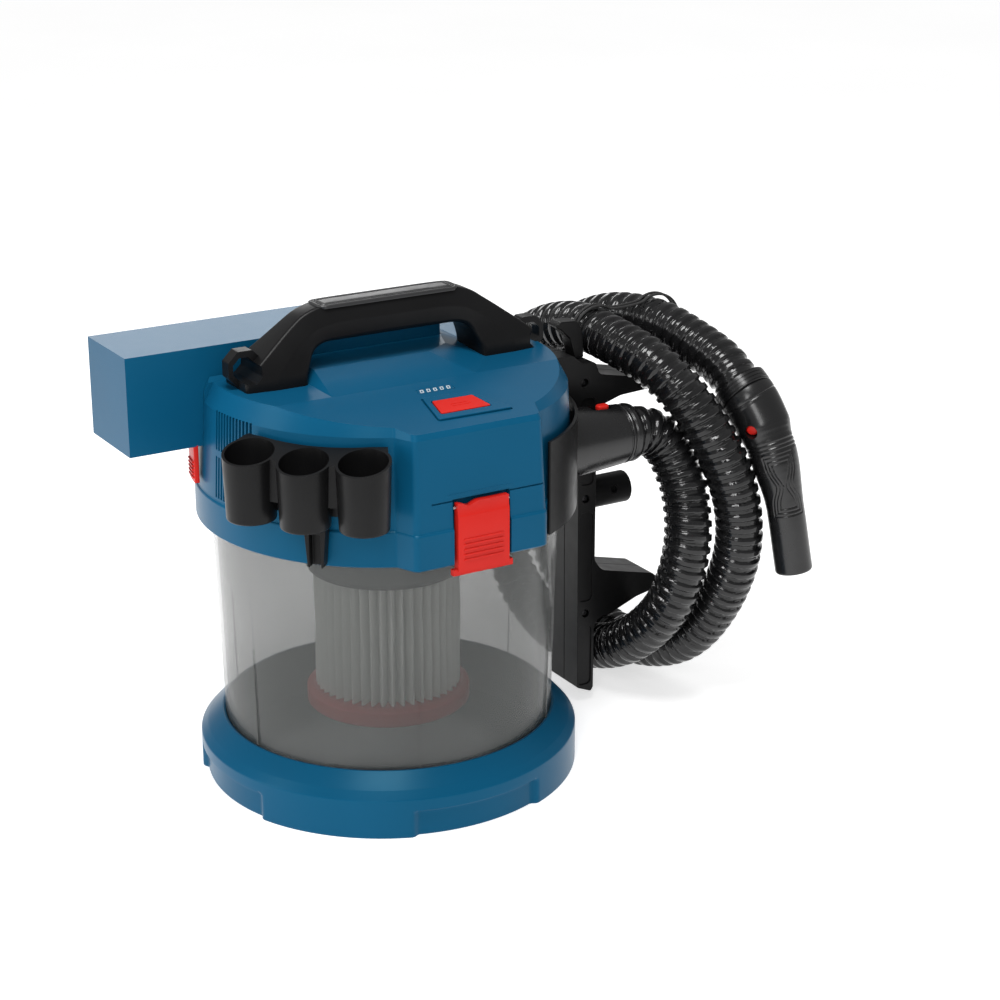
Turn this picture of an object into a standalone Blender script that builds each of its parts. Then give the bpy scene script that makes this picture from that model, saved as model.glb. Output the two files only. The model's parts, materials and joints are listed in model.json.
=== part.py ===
"""Cordless wet and dry shop vacuum: tub, lift-off motor head, battery bay, hose on its side holder.

Metres, +Z up.  The origin is the middle of the base's underside, the front latch faces -Y
and the hose side is +X.
"""
import math

import bmesh
import bpy
from mathutils import Matrix, Vector

# ---------------------------------------------------------------- driving dimensions
GAP = 0.0003                      # left between touching pieces
ROUND = 60                        # sides of the tub and its base

BASE_R = 0.150
BASE_WALL_TOP = 0.0315
BASE_TOP = 0.0485
BASE_FLOOR = 0.005
BASE_RECESS_DEPTH = 0.0045
BASE_RECESS_TOP = 0.021
BASE_RECESS_HALF_DEG = 21.0

TUB_R_LOW = 0.1300                # at BASE_TOP
TUB_R_HIGH = 0.1346               # at TUB_NECK
TUB_NECK = 0.2195
TUB_WALL = 0.0028
TUB_FLOOR = 0.0085
TUB_RIM_R = 0.1400
TUB_RIM_TOP = 0.2260

HEAD_Z = 0.2165                   # lower edge of the head
HEAD_R = 0.1465
HEAD_BAND_TOP = 0.244
HEAD_WALL = 0.0032
FRONT_Y = 0.150                   # flat latch panels
FRONT_HALF = 0.055
DECK_Z = 0.3280
DECK_FRONT_Z = 0.3185
BLOCK_Z = 0.3360

PLATE_Z = 0.2300                  # motor plate underside
PLATE_T = 0.003
PLATE_R = 0.1400
SEAL_R = (0.1330, 0.1385)

LID_X = 0.0655                    # hinge edge
LID_Y = (0.0225, 0.0945)
LID_SIDE_Z = 0.2790               # lower edge of its left wall
LID_SEAM = 0.0005

LATCH_HALF = 0.0215
LATCH_PIN_Z = 0.2595
LATCH_PIN_Y = 0.1470
LATCH_LOW_Z = 0.2080
LATCH_TOP_Z = 0.2635
POCKET_BACK = 0.1425

BUTTON_C = (0.006, -0.106)
BUTTON_TRAVEL = 0.002
DECK_TILT = math.atan2(DECK_Z - DECK_FRONT_Z, 0.075)

HANDLE_Y = -0.003
HANDLE_FOOT_Z = 0.3283
HANDLE_TOP_Z = 0.3840
HANDLE_UNDER_Z = 0.3560
FOOT_INNER_X = 0.0745

MOTOR_XY = (0.0, -0.018)
FILTER_R = 0.058
FILTER_LOW = 0.0660
FILTER_HIGH = 0.1900

PORT_Y, PORT_Z = -0.030, 0.2465   # hose inlet axis, along +X
PANEL_DEG = (-63.0, -1.5)         # curved panel round the inlet, on the head's right side
PANEL_Z = (0.2172, 0.2900)
PANEL_HOLE_R = 0.0282
CONN_SEAT_R = 0.1437
CONN_END = 0.1960
CUFF_END = 0.2090

HOSE_R = 0.0198
HOLDER_X = (0.1790, 0.1970)
HOLDER_Y = (0.0005, 0.0415)
HOLDER_MID_Y = 0.021
HOLDER_Z = (0.0080, 0.3000)

CUP_R = 0.0195
CUP_WALL = 0.0020
CUP_TOP = 0.3020                  # rim height on the cup's axis
CUP_TILT_DEG = 14.0               # the rims lean outwards
CUP_BOTTOM = 0.2530
CUP_RING_R = 0.1668
CUP_ANGLES_DEG = (207.0, 222.1, 236.9)

BLUE = (0.018, 0.105, 0.215)
RED = (0.62, 0.015, 0.012)
BLACK = (0.012, 0.012, 0.013)
DARK = (0.035, 0.036, 0.038)
STEEL = (0.55, 0.55, 0.56)

# hose route: centre-line points from the connector to the hand nozzle
HOSE_POINTS = [
    (0.2096, -0.030, 0.2465), (0.2200, -0.0302, 0.2458), (0.2315, -0.0318, 0.2405),
    (0.2410, -0.0365, 0.2300), (0.2465, -0.0435, 0.2140), (0.2490, -0.053, 0.1920),
    (0.2460, -0.062, 0.1530), (0.2375, -0.052, 0.1000),
    (0.2270, -0.010, 0.0530), (0.2200, 0.040, 0.0315), (0.2140, 0.090, 0.0310),
    (0.2085, 0.140, 0.0580), (0.2050, 0.170, 0.1150), (0.2030, 0.175, 0.1850),
    (0.2035, 0.157, 0.2520), (0.2070, 0.115, 0.2940), (0.2140, 0.062, 0.3137),
    (0.2232, 0.010, 0.3090), (0.2372, -0.035, 0.2925), (0.2600, -0.064, 0.2515),
    (0.2800, -0.077, 0.2000), (0.2870, -0.077, 0.1500), (0.2870, -0.055, 0.0950),
    (0.2790, -0.018, 0.0470), (0.2690, 0.028, 0.0265), (0.2600, 0.080, 0.0270),
    (0.2550, 0.135, 0.0560), (0.2520, 0.170, 0.1150), (0.2500, 0.175, 0.1850),
    (0.2500, 0.157, 0.2500), (0.2500, 0.115, 0.2930), (0.2592, 0.070, 0.3136),
    (0.2763, 0.030, 0.3140), (0.2904, -0.005, 0.3020), (0.2980, -0.032, 0.2905),
    (0.3010, -0.050, 0.2775),
]
HOSE_SAMPLES = 70
NOZZLE_POINTS = [(0.3010, -0.050, 0.2775), (0.3060, -0.0675, 0.2600), (0.3092, -0.083, 0.2372),
                 (0.3148, -0.096, 0.1980), (0.3230, -0.106, 0.1292)]



# ---------------------------------------------------------------- helpers
def clear_scene():
    for obj in list(bpy.data.objects):
        bpy.data.objects.remove(obj, do_unlink=True)


def new_collection(name):
    coll = bpy.data.collections.new(name)
    bpy.context.scene.collection.children.link(coll)
    return coll


def material(name, color, roughness, metallic=0.0, alpha=1.0):
    mat = bpy.data.materials.new(name)
    mat.use_nodes = True
    shader = mat.node_tree.nodes["Principled BSDF"]
    shader.inputs["Base Color"].default_value = (*color, 1.0)
    shader.inputs["Roughness"].default_value = roughness
    shader.inputs["Metallic"].default_value = metallic
    shader.inputs["Alpha"].default_value = alpha
    mat.diffuse_color = (*color, alpha)
    return mat


def add(name, bm, mat=None, smooth=35.0):
    """Turn a bmesh into an object: a part when it has a material, otherwise a cutter."""
    bmesh.ops.recalc_face_normals(bm, faces=bm.faces)
    mesh = bpy.data.meshes.new(name)
    bm.to_mesh(mesh)
    bm.free()
    mesh.shade_smooth()
    mesh.set_sharp_from_angle(angle=math.radians(smooth))
    obj = bpy.data.objects.new(name, mesh)
    if mat:
        mesh.materials.append(mat)
        PARTS.objects.link(obj)
    else:
        CUTTERS.objects.link(obj)
        obj.hide_render = True
        obj.display_type = "WIRE"
    return obj


def toward(axis):
    """Rotation that takes +Z onto the given direction."""
    return Vector((0, 0, 1)).rotation_difference(Vector(axis)).to_matrix().to_4x4()


def box_bm(lo, hi):
    bm = bmesh.new()
    lo, hi = Vector(lo), Vector(hi)
    size = hi - lo
    place = Matrix.Translation((lo + hi) / 2) @ Matrix.Diagonal((*size, 1.0))
    bmesh.ops.create_cube(bm, size=1.0, matrix=place)
    return bm


def box(name, lo, hi, mat=None, bevel=0.0, segments=2):
    obj = add(name, box_bm(lo, hi), mat)
    if bevel:
        soften(obj, bevel, segments)
    return obj


def soften(obj, width, segments=2, angle=30.0):
    mod = obj.modifiers.new("soften", "BEVEL")
    mod.width = width
    mod.segments = segments
    mod.limit_method = "ANGLE"
    mod.angle_limit = math.radians(angle)
    mod.use_clamp_overlap = True


def turned_bm(profile, segments, origin=(0, 0, 0), axis=(0, 0, 1)):
    """Spin a closed or axis-to-axis (r, z) profile about the axis."""
    bm = bmesh.new()
    on_axis = profile[0][0] == 0 and profile[-1][0] == 0
    verts = [bm.verts.new((r, 0, z)) for r, z in profile]
    edges = [bm.edges.new(pair) for pair in zip(verts, verts[1:])]
    if not on_axis:
        edges.append(bm.edges.new((verts[-1], verts[0])))
    bmesh.ops.spin(bm, geom=verts + edges, cent=(0, 0, 0), axis=(0, 0, 1),
                   angle=math.tau, steps=segments, use_merge=True, use_duplicate=False)
    bmesh.ops.remove_doubles(bm, verts=bm.verts, dist=1e-6)
    bmesh.ops.transform(bm, matrix=Matrix.Translation(origin) @ toward(axis), verts=bm.verts)
    return bm


def turned(name, profile, mat=None, segments=48, origin=(0, 0, 0), axis=(0, 0, 1)):
    return add(name, turned_bm(profile, segments, origin, axis), mat)


def rod_bm(start, end, radius, segments=16, radius_end=None):
    start, end = Vector(start), Vector(end)
    bm = bmesh.new()
    place = Matrix.Translation((start + end) / 2) @ toward(end - start)
    bmesh.ops.create_cone(bm, cap_ends=True, segments=segments, radius1=radius,
                          radius2=radius if radius_end is None else radius_end,
                          depth=(end - start).length, matrix=place)
    return bm


def rod(name, start, end, radius, mat=None, segments=16, radius_end=None):
    return add(name, rod_bm(start, end, radius, segments, radius_end), mat)


def gathered(name, pieces, mat=None):
    """One object from several separate bmesh solids, such as a set of screws."""
    whole = bmesh.new()
    for bm in pieces:
        mesh = bpy.data.meshes.new("piece")
        bm.to_mesh(mesh)
        bm.free()
        whole.from_mesh(mesh)
        bpy.data.meshes.remove(mesh)
    return add(name, whole, mat)


def prism_bm(outline, low, high, frame=None):
    """Extrude a closed 2D outline from low to high along the frame's Z."""
    bm = bmesh.new()
    face = bm.faces.new([bm.verts.new((x, y, low)) for x, y in outline])
    grown = bmesh.ops.extrude_face_region(bm, geom=[face])
    top = [v for v in grown["geom"] if isinstance(v, bmesh.types.BMVert)]
    bmesh.ops.translate(bm, verts=top, vec=(0, 0, high - low))
    if frame:
        bmesh.ops.transform(bm, matrix=frame, verts=bm.verts)
    return bm


XZ_FRAME = Matrix(((1, 0, 0, 0), (0, 0, 1, 0), (0, 1, 0, 0), (0, 0, 0, 1)))   # outline (x, z), along y
YZ_FRAME = Matrix(((0, 0, 1, 0), (1, 0, 0, 0), (0, 1, 0, 0), (0, 0, 0, 1)))   # outline (y, z), along x


def prism(name, outline, low, high, mat=None, frame=None, bevel=0.0, segments=2):
    obj = add(name, prism_bm(outline, low, high, frame), mat)
    if bevel:
        soften(obj, bevel, segments)
    return obj


def boolean(obj, other, operation):
    mod = obj.modifiers.new(operation.lower(), "BOOLEAN")
    mod.operation = operation
    mod.object = other
    mod.solver = "EXACT"


def cut(obj, *others):
    for other in others:
        boolean(obj, other, "DIFFERENCE")


def join(obj, *others):
    for other in others:
        boolean(obj, other, "UNION")


def arc(cx, cy, radius, start_deg, end_deg, count):
    steps = [math.radians(start_deg + (end_deg - start_deg) * i / (count - 1)) for i in range(count)]
    return [(cx + radius * math.cos(a), cy + radius * math.sin(a)) for a in steps]


def band_outline(r_in, r_out, start_deg, end_deg, count):
    return (arc(0, 0, r_out, start_deg, end_deg, count)
            + arc(0, 0, r_in, end_deg, start_deg, count))


def loft_bm(rings, cap_low, cap_high):
    """Skin equal-length rings of points; each end closes to a point."""
    bm = bmesh.new()
    rows = [[bm.verts.new(p) for p in ring] for ring in rings]
    count = len(rows[0])
    for low, high in zip(rows, rows[1:]):
        for i in range(count):
            j = (i + 1) % count
            bm.faces.new((low[i], low[j], high[j], high[i]))
    for row, tip in ((rows[0], cap_low), (rows[-1], cap_high)):
        point = bm.verts.new(tip)
        for i in range(count):
            bm.faces.new((row[i], row[(i + 1) % count], point))
    return bm


def catmull(points, per_span=8):
    """Smooth curve through the points (centripetal Catmull-Rom)."""
    pts = [Vector(p) for p in points]
    ext = [2 * pts[0] - pts[1], *pts, 2 * pts[-1] - pts[-2]]
    out = []
    for p0, p1, p2, p3 in zip(ext, ext[1:], ext[2:], ext[3:]):
        t0 = 0.0
        t1 = t0 + (p1 - p0).length ** 0.5
        t2 = t1 + (p2 - p1).length ** 0.5
        t3 = t2 + (p3 - p2).length ** 0.5
        for k in range(per_span):
            t = t1 + (t2 - t1) * k / per_span
            a1 = (t1 - t) / (t1 - t0) * p0 + (t - t0) / (t1 - t0) * p1
            a2 = (t2 - t) / (t2 - t1) * p1 + (t - t1) / (t2 - t1) * p2
            a3 = (t3 - t) / (t3 - t2) * p2 + (t - t2) / (t3 - t2) * p3
            b1 = (t2 - t) / (t2 - t0) * a1 + (t - t0) / (t2 - t0) * a2
            b2 = (t3 - t) / (t3 - t1) * a2 + (t - t1) / (t3 - t1) * a3
            out.append((t2 - t) / (t2 - t1) * b1 + (t - t1) / (t2 - t1) * b2)
    out.append(pts[-1])
    return out


def evenly(points, count):
    """Resample a polyline at equal arc lengths."""
    lengths = [0.0]
    for a, b in zip(points, points[1:]):
        lengths.append(lengths[-1] + (b - a).length)
    out = []
    k = 0
    for i in range(count):
        want = lengths[-1] * i / (count - 1)
        while k < len(points) - 2 and lengths[k + 1] < want:
            k += 1
        span = lengths[k + 1] - lengths[k]
        out.append(points[k].lerp(points[k + 1], (want - lengths[k]) / span))
    return out


def tube(name, points, radius, mat, resolution=2):
    curve = bpy.data.curves.new(name, "CURVE")
    curve.dimensions = "3D"
    curve.bevel_depth = radius
    curve.bevel_resolution = resolution
    curve.use_fill_caps = True
    spline = curve.splines.new("POLY")
    spline.points.add(len(points) - 1)
    for point, place in zip(spline.points, points):
        point.co = (*place, 1.0)
    curve.materials.append(mat)
    obj = bpy.data.objects.new(name, curve)
    PARTS.objects.link(obj)
    return obj


def swept_bm(points, radii, segments=20):
    """Round solid along a path whose radius changes from point to point."""
    pts = [Vector(p) for p in points]
    rings = []
    side = Vector((0, 1, 0))
    for i, p in enumerate(pts):
        ahead = (pts[min(i + 1, len(pts) - 1)] - pts[max(i - 1, 0)]).normalized()
        side = (side - ahead * side.dot(ahead)).normalized()
        up = ahead.cross(side)
        angles = [math.tau * k / segments for k in range(segments)]
        rings.append([p + radii[i] * (math.cos(a) * side + math.sin(a) * up) for a in angles])
    return loft_bm(rings, pts[0], pts[-1])


# ---------------------------------------------------------------- tub
def tub_radius(z):
    return TUB_R_LOW + (TUB_R_HIGH - TUB_R_LOW) * (z - BASE_TOP) / (TUB_NECK - BASE_TOP)


def make_base():
    low = tub_radius(BASE_FLOOR) + GAP
    high = tub_radius(BASE_TOP) + GAP
    base = turned("base_ring", [
        (0, BASE_FLOOR), (low, BASE_FLOOR), (high, BASE_TOP), (high + 0.0025, BASE_TOP - 0.0004),
        (BASE_R - 0.0040, 0.0365), (BASE_R - 0.0008, BASE_WALL_TOP + 0.0015),
        (BASE_R, BASE_WALL_TOP - 0.001), (BASE_R, 0.0012), (BASE_R - 0.0012, 0), (0, 0),
    ], MAT["blue"], segments=ROUND)
    bands = []
    for middle in (0, 90, 180, 270):
        outline = band_outline(BASE_R - BASE_RECESS_DEPTH, BASE_R + 0.01,
                               middle - BASE_RECESS_HALF_DEG, middle + BASE_RECESS_HALF_DEG, 11)
        bands.append(prism_bm(outline, -0.001, BASE_RECESS_TOP))
    cut(base, gathered("base_recess_cutter", bands))


def make_container():
    bottom = BASE_FLOOR + GAP
    inner_low = tub_radius(TUB_FLOOR) - TUB_WALL
    inner_high = tub_radius(TUB_RIM_TOP) - TUB_WALL
    tub = turned("container", [
        (0, TUB_FLOOR), (inner_low - 0.004, TUB_FLOOR), (inner_low, TUB_FLOOR + 0.004),
        (inner_high, TUB_RIM_TOP), (TUB_RIM_R, TUB_RIM_TOP), (TUB_RIM_R, TUB_RIM_TOP - 0.004),
        (TUB_RIM_R - 0.0012, TUB_RIM_TOP - 0.0055), (TUB_R_HIGH, TUB_NECK - 0.001),
        (tub_radius(bottom), bottom), (0, bottom),
    ], MAT["smoke"], segments=ROUND)
    lugs = []
    for side in (-1, 1):
        ys = sorted((side * (TUB_R_HIGH - 0.0035), side * (FRONT_Y - 0.0050)))
        lugs.append(box_bm((-0.016, ys[0], 0.2085), (0.016, ys[1], 0.2135)))
    join(tub, gathered("latch_lugs", lugs))


# ---------------------------------------------------------------- head shell and lid
def head_outline(inset, z):
    """Round body with flat latch panels at front and back, counter-clockwise from +X."""
    radius = HEAD_R - inset
    joint_x, half, flat = 0.062 - 0.4 * inset, FRONT_HALF - 0.41 * inset, FRONT_Y - inset
    joint_deg = math.degrees(math.asin(math.sqrt(radius ** 2 - joint_x ** 2) / radius))
    across = [half * (1 - 2 * i / 4) for i in range(5)]
    points = arc(0, 0, radius, -joint_deg, joint_deg, 21)
    points += [(x, flat) for x in across]
    points += arc(0, 0, radius, 180 - joint_deg, 180 + joint_deg, 21)
    points += [(-x, -flat) for x in across]
    return [(x, y, z) for x, y in points]


def head_blank(name, inset, low, mat=None):
    """Solid of the head's outside, or its inside when inset, up to the raised battery block."""
    rings = [head_outline(inset, low), head_outline(inset, HEAD_BAND_TOP - inset),
             head_outline(inset + 0.0012, HEAD_BAND_TOP + 0.0008 - inset),
             head_outline(inset + 0.0045, 0.345)]
    blank = add(name, loft_bm(rings, (0, 0, low), (0, 0, 0.345)), mat)
    drop = inset
    front = [(-0.170, 0.3141), (-0.060, DECK_Z)]
    rear = [(0.110, DECK_Z), (0.170, 0.3190)]
    block = [(-0.055, DECK_Z), (-0.015, BLOCK_Z), (0.098, BLOCK_Z), (0.1085, DECK_Z)]
    above = [(0.170, 0.36), (-0.170, 0.36)]
    for tag, profile, x_low in (("block", front + block + rear, -0.2), ("deck", front + rear, 0.078 - drop)):
        outline = [(y, z - drop if z < 0.35 else z) for y, z in profile + above]
        cut(blank, prism(f"{name}_{tag}_cutter", outline, x_low, 0.2, frame=YZ_FRAME))
    return blank


def realise(obj, bevel=0.0):
    """Apply the modifiers; round the rim where walls meet the top."""
    deps = bpy.context.evaluated_depsgraph_get()
    mesh = bpy.data.meshes.new_from_object(obj.evaluated_get(deps))
    obj.modifiers.clear()
    if bevel:
        bm = bmesh.new()
        bm.from_mesh(mesh)
        bmesh.ops.dissolve_limit(bm, angle_limit=math.radians(1.0), verts=bm.verts, edges=bm.edges)
        rim = [e for e in bm.edges if len(e.link_faces) == 2
               and min(v.co.z for v in e.verts) > 0.31
               and e.calc_face_angle(0) > math.radians(50)
               and min(v.co.xy.length for v in e.verts) > 0.1]
        bmesh.ops.bevel(bm, geom=rim, offset=bevel, segments=2, profile=0.6, affect="EDGES",
                        clamp_overlap=True)
        bm.to_mesh(mesh)
        bm.free()
    mesh.shade_smooth()
    mesh.set_sharp_from_angle(angle=math.radians(35))
    obj.data = mesh


def lid_outline(grow):
    """Lid region in (x, z): the flat top and the wall that wraps down the left side."""
    return [(-0.2, LID_SIDE_Z - grow), (-0.105 + grow, LID_SIDE_Z - grow), (-0.105 + grow, 0.3215),
            (LID_X + grow, 0.3215), (LID_X + grow, 0.36), (-0.2, 0.36)]


def vent_cutters():
    slots = []
    for low, high in ((0.2470, 0.2805), (0.2860, 0.3185)):
        for k in range(12):
            angle = math.radians(183.0 + 1.55 * k)
            bm = box_bm((0.1380, -0.0009, low), (0.1520, 0.0009, high))
            bmesh.ops.transform(bm, matrix=Matrix.Rotation(angle, 4, "Z"), verts=bm.verts)
            slots.append(bm)
    return slots


def handle_foot_box(side, low, high, grow, reach=0.1245):
    xs = sorted((side * (FOOT_INNER_X - grow), side * (reach + grow)))
    return box_bm((xs[0], HANDLE_Y - 0.022 - grow, low), (xs[1], HANDLE_Y + 0.022 + grow, high))


def button_frame():
    """Local frame of the power button, on the sloping front deck."""
    x, y = BUTTON_C
    z = DECK_Z + (y + 0.060) * math.tan(DECK_TILT)
    return Matrix.Translation((x, y, z)) @ Matrix.Rotation(DECK_TILT, 4, "X")


def button_outline(grow):
    return [(-0.0222 - grow, -0.0130 - grow), (0.0192 + grow, -0.0130 - grow),
            (0.0155 + grow, 0.0085 + grow), (-0.0178 - grow, 0.0090 + grow)]


def lights_outline(grow):
    """Charge window just behind the button, in the button's own frame."""
    low, high = (-0.0180 - grow, 0.0268 - grow), (0.0120 + grow, 0.0334 + grow)
    return [low, (high[0], low[1]), high, (low[0], high[1])]


def make_head_shell():
    shell = head_blank("head_shell", 0.0, HEAD_Z, MAT["blue"])
    realise(shell, bevel=0.004)
    hollow = head_blank("head_hollow", HEAD_WALL, HEAD_Z - 0.01)
    cut(shell, hollow)
    skin = shell.data

    lid = bpy.data.objects.new("battery_lid", skin.copy())
    PARTS.objects.link(lid)
    cut(lid, hollow)
    region = prism("lid_region", lid_outline(0.0), *LID_Y, frame=XZ_FRAME)
    boolean(lid, region, "INTERSECT")

    opening = prism("lid_opening", lid_outline(LID_SEAM), LID_Y[0] - LID_SEAM, LID_Y[1] + LID_SEAM,
                    frame=XZ_FRAME)
    bosses = [handle_foot_box(-1, 0.3165, 0.3340, 0.003, 0.1370), handle_foot_box(1, 0.3165, 0.3270, 0.003)]
    for side in (-1, 1):
        ys = sorted((side * 0.1406, side * 0.1475))
        bosses.append(box_bm((-LATCH_HALF - 0.006, ys[0], HEAD_Z + 0.001),
                             (LATCH_HALF + 0.006, ys[1], 0.2700)))
    join(shell, gathered("head_bosses", bosses))
    cuts = [handle_foot_box(1, HANDLE_FOOT_Z - GAP, 0.3450, GAP, 0.1600),
            box_bm((-0.1600, -0.0620, HANDLE_FOOT_Z - GAP),
                   (GAP - FOOT_INNER_X, HANDLE_Y + 0.022 + GAP, 0.3450))]
    for side in (-1, 1):
        ys = sorted((side * POCKET_BACK, side * 0.1600))
        cuts.append(box_bm((-LATCH_HALF - 0.0025, ys[0], HEAD_Z - 0.002),
                           (LATCH_HALF + 0.0025, ys[1], 0.2662)))
    cuts.append(prism_bm(button_outline(0.0012), -0.012, 0.012, button_frame()))
    cuts.append(prism_bm(lights_outline(GAP), -0.0012, 0.004, button_frame()))
    cuts.append(rod_bm((0.125, PORT_Y, PORT_Z), (0.160, PORT_Y, PORT_Z), 0.0285, 32))
    cut(shell, opening, gathered("head_pockets", cuts), gathered("vent_slots", vent_cutters()))


def make_lid_latch():
    outline = band_outline(HEAD_R + 0.0004, HEAD_R + 0.0046, 163.5, 171.5, 5)
    latch = prism("lid_latch", outline, 0.2500, 0.2800, MAT["red"])
    ribs = [prism_bm(band_outline(HEAD_R + 0.0040, HEAD_R + 0.0058, 164.3, 170.7, 5), z, z + 0.0014)
            for z in (0.2535, 0.2565, 0.2595, 0.2625, 0.2655)]
    join(latch, gathered("lid_latch_ribs", ribs))


# ---------------------------------------------------------------- latches
def make_latch(side, tag):
    """Over-centre latch; it hangs on a pin in the pocket at the head's front or back."""
    face, back = FRONT_Y + 0.0015, FRONT_Y - 0.0045
    outline = [(-back, LATCH_LOW_Z + 0.006), (-face, LATCH_LOW_Z + 0.0065), (-face, 0.2560),
               (-face + 0.0012, LATCH_TOP_Z - 0.0006), (-back - 0.0006, LATCH_TOP_Z),
               (-back, LATCH_TOP_Z - 0.001)]
    if side > 0:
        outline = [(-y, z) for y, z in reversed(outline)]
    latch = prism(f"latch_{tag}", outline, -LATCH_HALF, LATCH_HALF, MAT["red"], frame=YZ_FRAME)
    ys = sorted((side * (back - 0.0003), side * (face + 0.0004)))
    ears = box_bm((-LATCH_HALF - 0.004, ys[0], LATCH_LOW_Z),
                  (LATCH_HALF + 0.004, ys[1], LATCH_LOW_Z + 0.0075))
    ridge_y = sorted((side * (face - 0.0005), side * (face + 0.0008)))
    ridges = [box_bm((-0.017, ridge_y[0], z), (0.017, ridge_y[1], z + 0.0013))
              for z in (0.2205, 0.2235, 0.2265, 0.2295, 0.2325, 0.2355)]
    join(latch, gathered(f"latch_{tag}_ears", [ears]), gathered(f"latch_{tag}_ridges", ridges))
    y = side * LATCH_PIN_Y
    cut(latch, rod(f"latch_{tag}_bore", (-0.03, y, LATCH_PIN_Z), (0.03, y, LATCH_PIN_Z), 0.0013, segments=12))
    end = LATCH_HALF + 0.0020
    rod(f"latch_pin_{tag}", (-end, y, LATCH_PIN_Z), (end, y, LATCH_PIN_Z), 0.0010, MAT["steel"], 12)


# ---------------------------------------------------------------- deck controls
def make_controls():
    frame = button_frame()
    prism("power_button", button_outline(0.0), -0.0050, 0.0016, MAT["red"], frame=frame, bevel=0.0006)
    bezel = prism("button_bezel", [(-0.0289, -0.0211), (0.0325, -0.0220), (0.0175, 0.0151),
                                   (-0.0214, 0.0175)],
                  GAP, 0.0018, MAT["blue"], frame=frame, bevel=0.0008)
    cut(bezel, prism("bezel_window", button_outline(0.0006), -0.004, 0.006, frame=frame))
    switch = prism("power_switch", [(-0.013, -0.009), (0.011, -0.009), (0.011, 0.009), (-0.013, 0.009)],
                   -0.0240, -0.0075, MAT["dark"], frame=frame)
    join(switch, rod("switch_plunger", frame @ Vector((-0.001, 0, -0.010)),
                     frame @ Vector((-0.001, 0, -0.0072)),
                     0.003, segments=12))
    prism("charge_lights", lights_outline(0.0), -0.0009, 0.0002, MAT["light"], frame=frame)


# ---------------------------------------------------------------- handle
def make_handle():
    """Arched carrying bar on two feet, with a strap eye at each end."""
    outer = [(0.1245, 0.3350), (0.1110, 0.3490), (0.1010, 0.3570), (0.0900, 0.3655), (0.0796, 0.3730),
             (0.0690, 0.3795),
             (0.0550, HANDLE_TOP_Z)]
    inner = [(0.0450, HANDLE_UNDER_Z), (0.0560, HANDLE_UNDER_Z), (0.0640, 0.3530), (0.0690, 0.3460),
             (0.0748, 0.3368)]
    right = [(0.0745, HANDLE_FOOT_Z + 0.002), (0.1245, HANDLE_FOOT_Z + 0.002)] + outer
    outline = right + [(-x, z) for x, z in reversed(right)] + [(-x, z) for x, z in reversed(inner)] + inner
    handle = prism("carry_handle", outline, HANDLE_Y - 0.0150, HANDLE_Y + 0.0150, MAT["black"],
                   frame=XZ_FRAME, bevel=0.0035)
    for side, tag in ((-1, "left"), (1, "right")):
        foot = add(f"foot_{tag}", handle_foot_box(side, HANDLE_FOOT_Z, 0.3400, 0.0))
        soften(foot, 0.002, 1)
        centre = (side * 0.1225, 0.3450)
        ring = [(centre[0] + 0.0150 * math.cos(a), centre[1] + 0.0150 * math.sin(a))
                for a in [math.radians(22.5 + 45 * k) for k in range(8)]]
        hole = [(centre[0] + side * 0.0010 + 0.0088 * math.cos(a), centre[1] + 0.0088 * math.sin(a))
                for a in [math.radians(22.5 + 45 * k) for k in range(8)]]
        eye = prism(f"eye_{tag}", ring, HANDLE_Y - 0.0045, HANDLE_Y + 0.0045, frame=XZ_FRAME)
        join(handle, foot, eye)
        cut(handle, prism(f"eye_hole_{tag}", hole, HANDLE_Y - 0.03, HANDLE_Y + 0.03, frame=XZ_FRAME))
    cut(handle, box("pad_pocket", (-0.0585, HANDLE_Y - 0.0113, HANDLE_TOP_Z - 0.0022),
                    (0.0585, HANDLE_Y + 0.0113, HANDLE_TOP_Z + 0.01)))
    pad = box("grip_pad", (-0.0582, HANDLE_Y - 0.0110, HANDLE_TOP_Z - 0.0019),
              (0.0582, HANDLE_Y + 0.0110, HANDLE_TOP_Z + 0.0006), MAT["black"])
    soften(pad, 0.0007, 1)
    places = [(x, HANDLE_Y + dy) for x in (-0.1015, 0.1015) for dy in (-0.012, 0.012)]
    for k, (x, y) in enumerate(places):
        rod(f"handle_screw_{k + 1}", (x, y, 0.3132), (x, y, 0.3162), 0.0036, MAT["steel"], 12)


# ---------------------------------------------------------------- inside the head
def make_air_path():
    plate = turned("motor_plate", [(0.0280, PLATE_Z + PLATE_T), (0.0280, PLATE_Z), (PLATE_R, PLATE_Z),
                                   (PLATE_R, PLATE_Z + PLATE_T)][::-1], MAT["dark"], ROUND)
    cut(plate, box("duct_hole", (0.0840, PORT_Y - 0.018, PLATE_Z - 0.01),
                   (0.1160, PORT_Y + 0.018, PLATE_Z + 0.01)))
    turned("rim_seal", [(SEAL_R[0], PLATE_Z - GAP), (SEAL_R[1], PLATE_Z - GAP),
                        (SEAL_R[1], TUB_RIM_TOP + GAP),
                        (SEAL_R[0], TUB_RIM_TOP + GAP)], MAT["rubber"], 48)
    duct = box("inlet_duct", (0.0800, PORT_Y - 0.0220, PLATE_Z + PLATE_T + GAP),
               (0.1325, PORT_Y + 0.0220, 0.2640),
               MAT["dark"])
    hollow = box_bm((0.0820, PORT_Y - 0.0200, PLATE_Z), (0.1180, PORT_Y + 0.0200, 0.2620))
    mouth = rod_bm((0.1100, PORT_Y, PORT_Z), (0.1400, PORT_Y, PORT_Z), 0.0110, 24)
    cut(duct, gathered("duct_hollow", [hollow]), gathered("duct_mouth", [mouth]))


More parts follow.
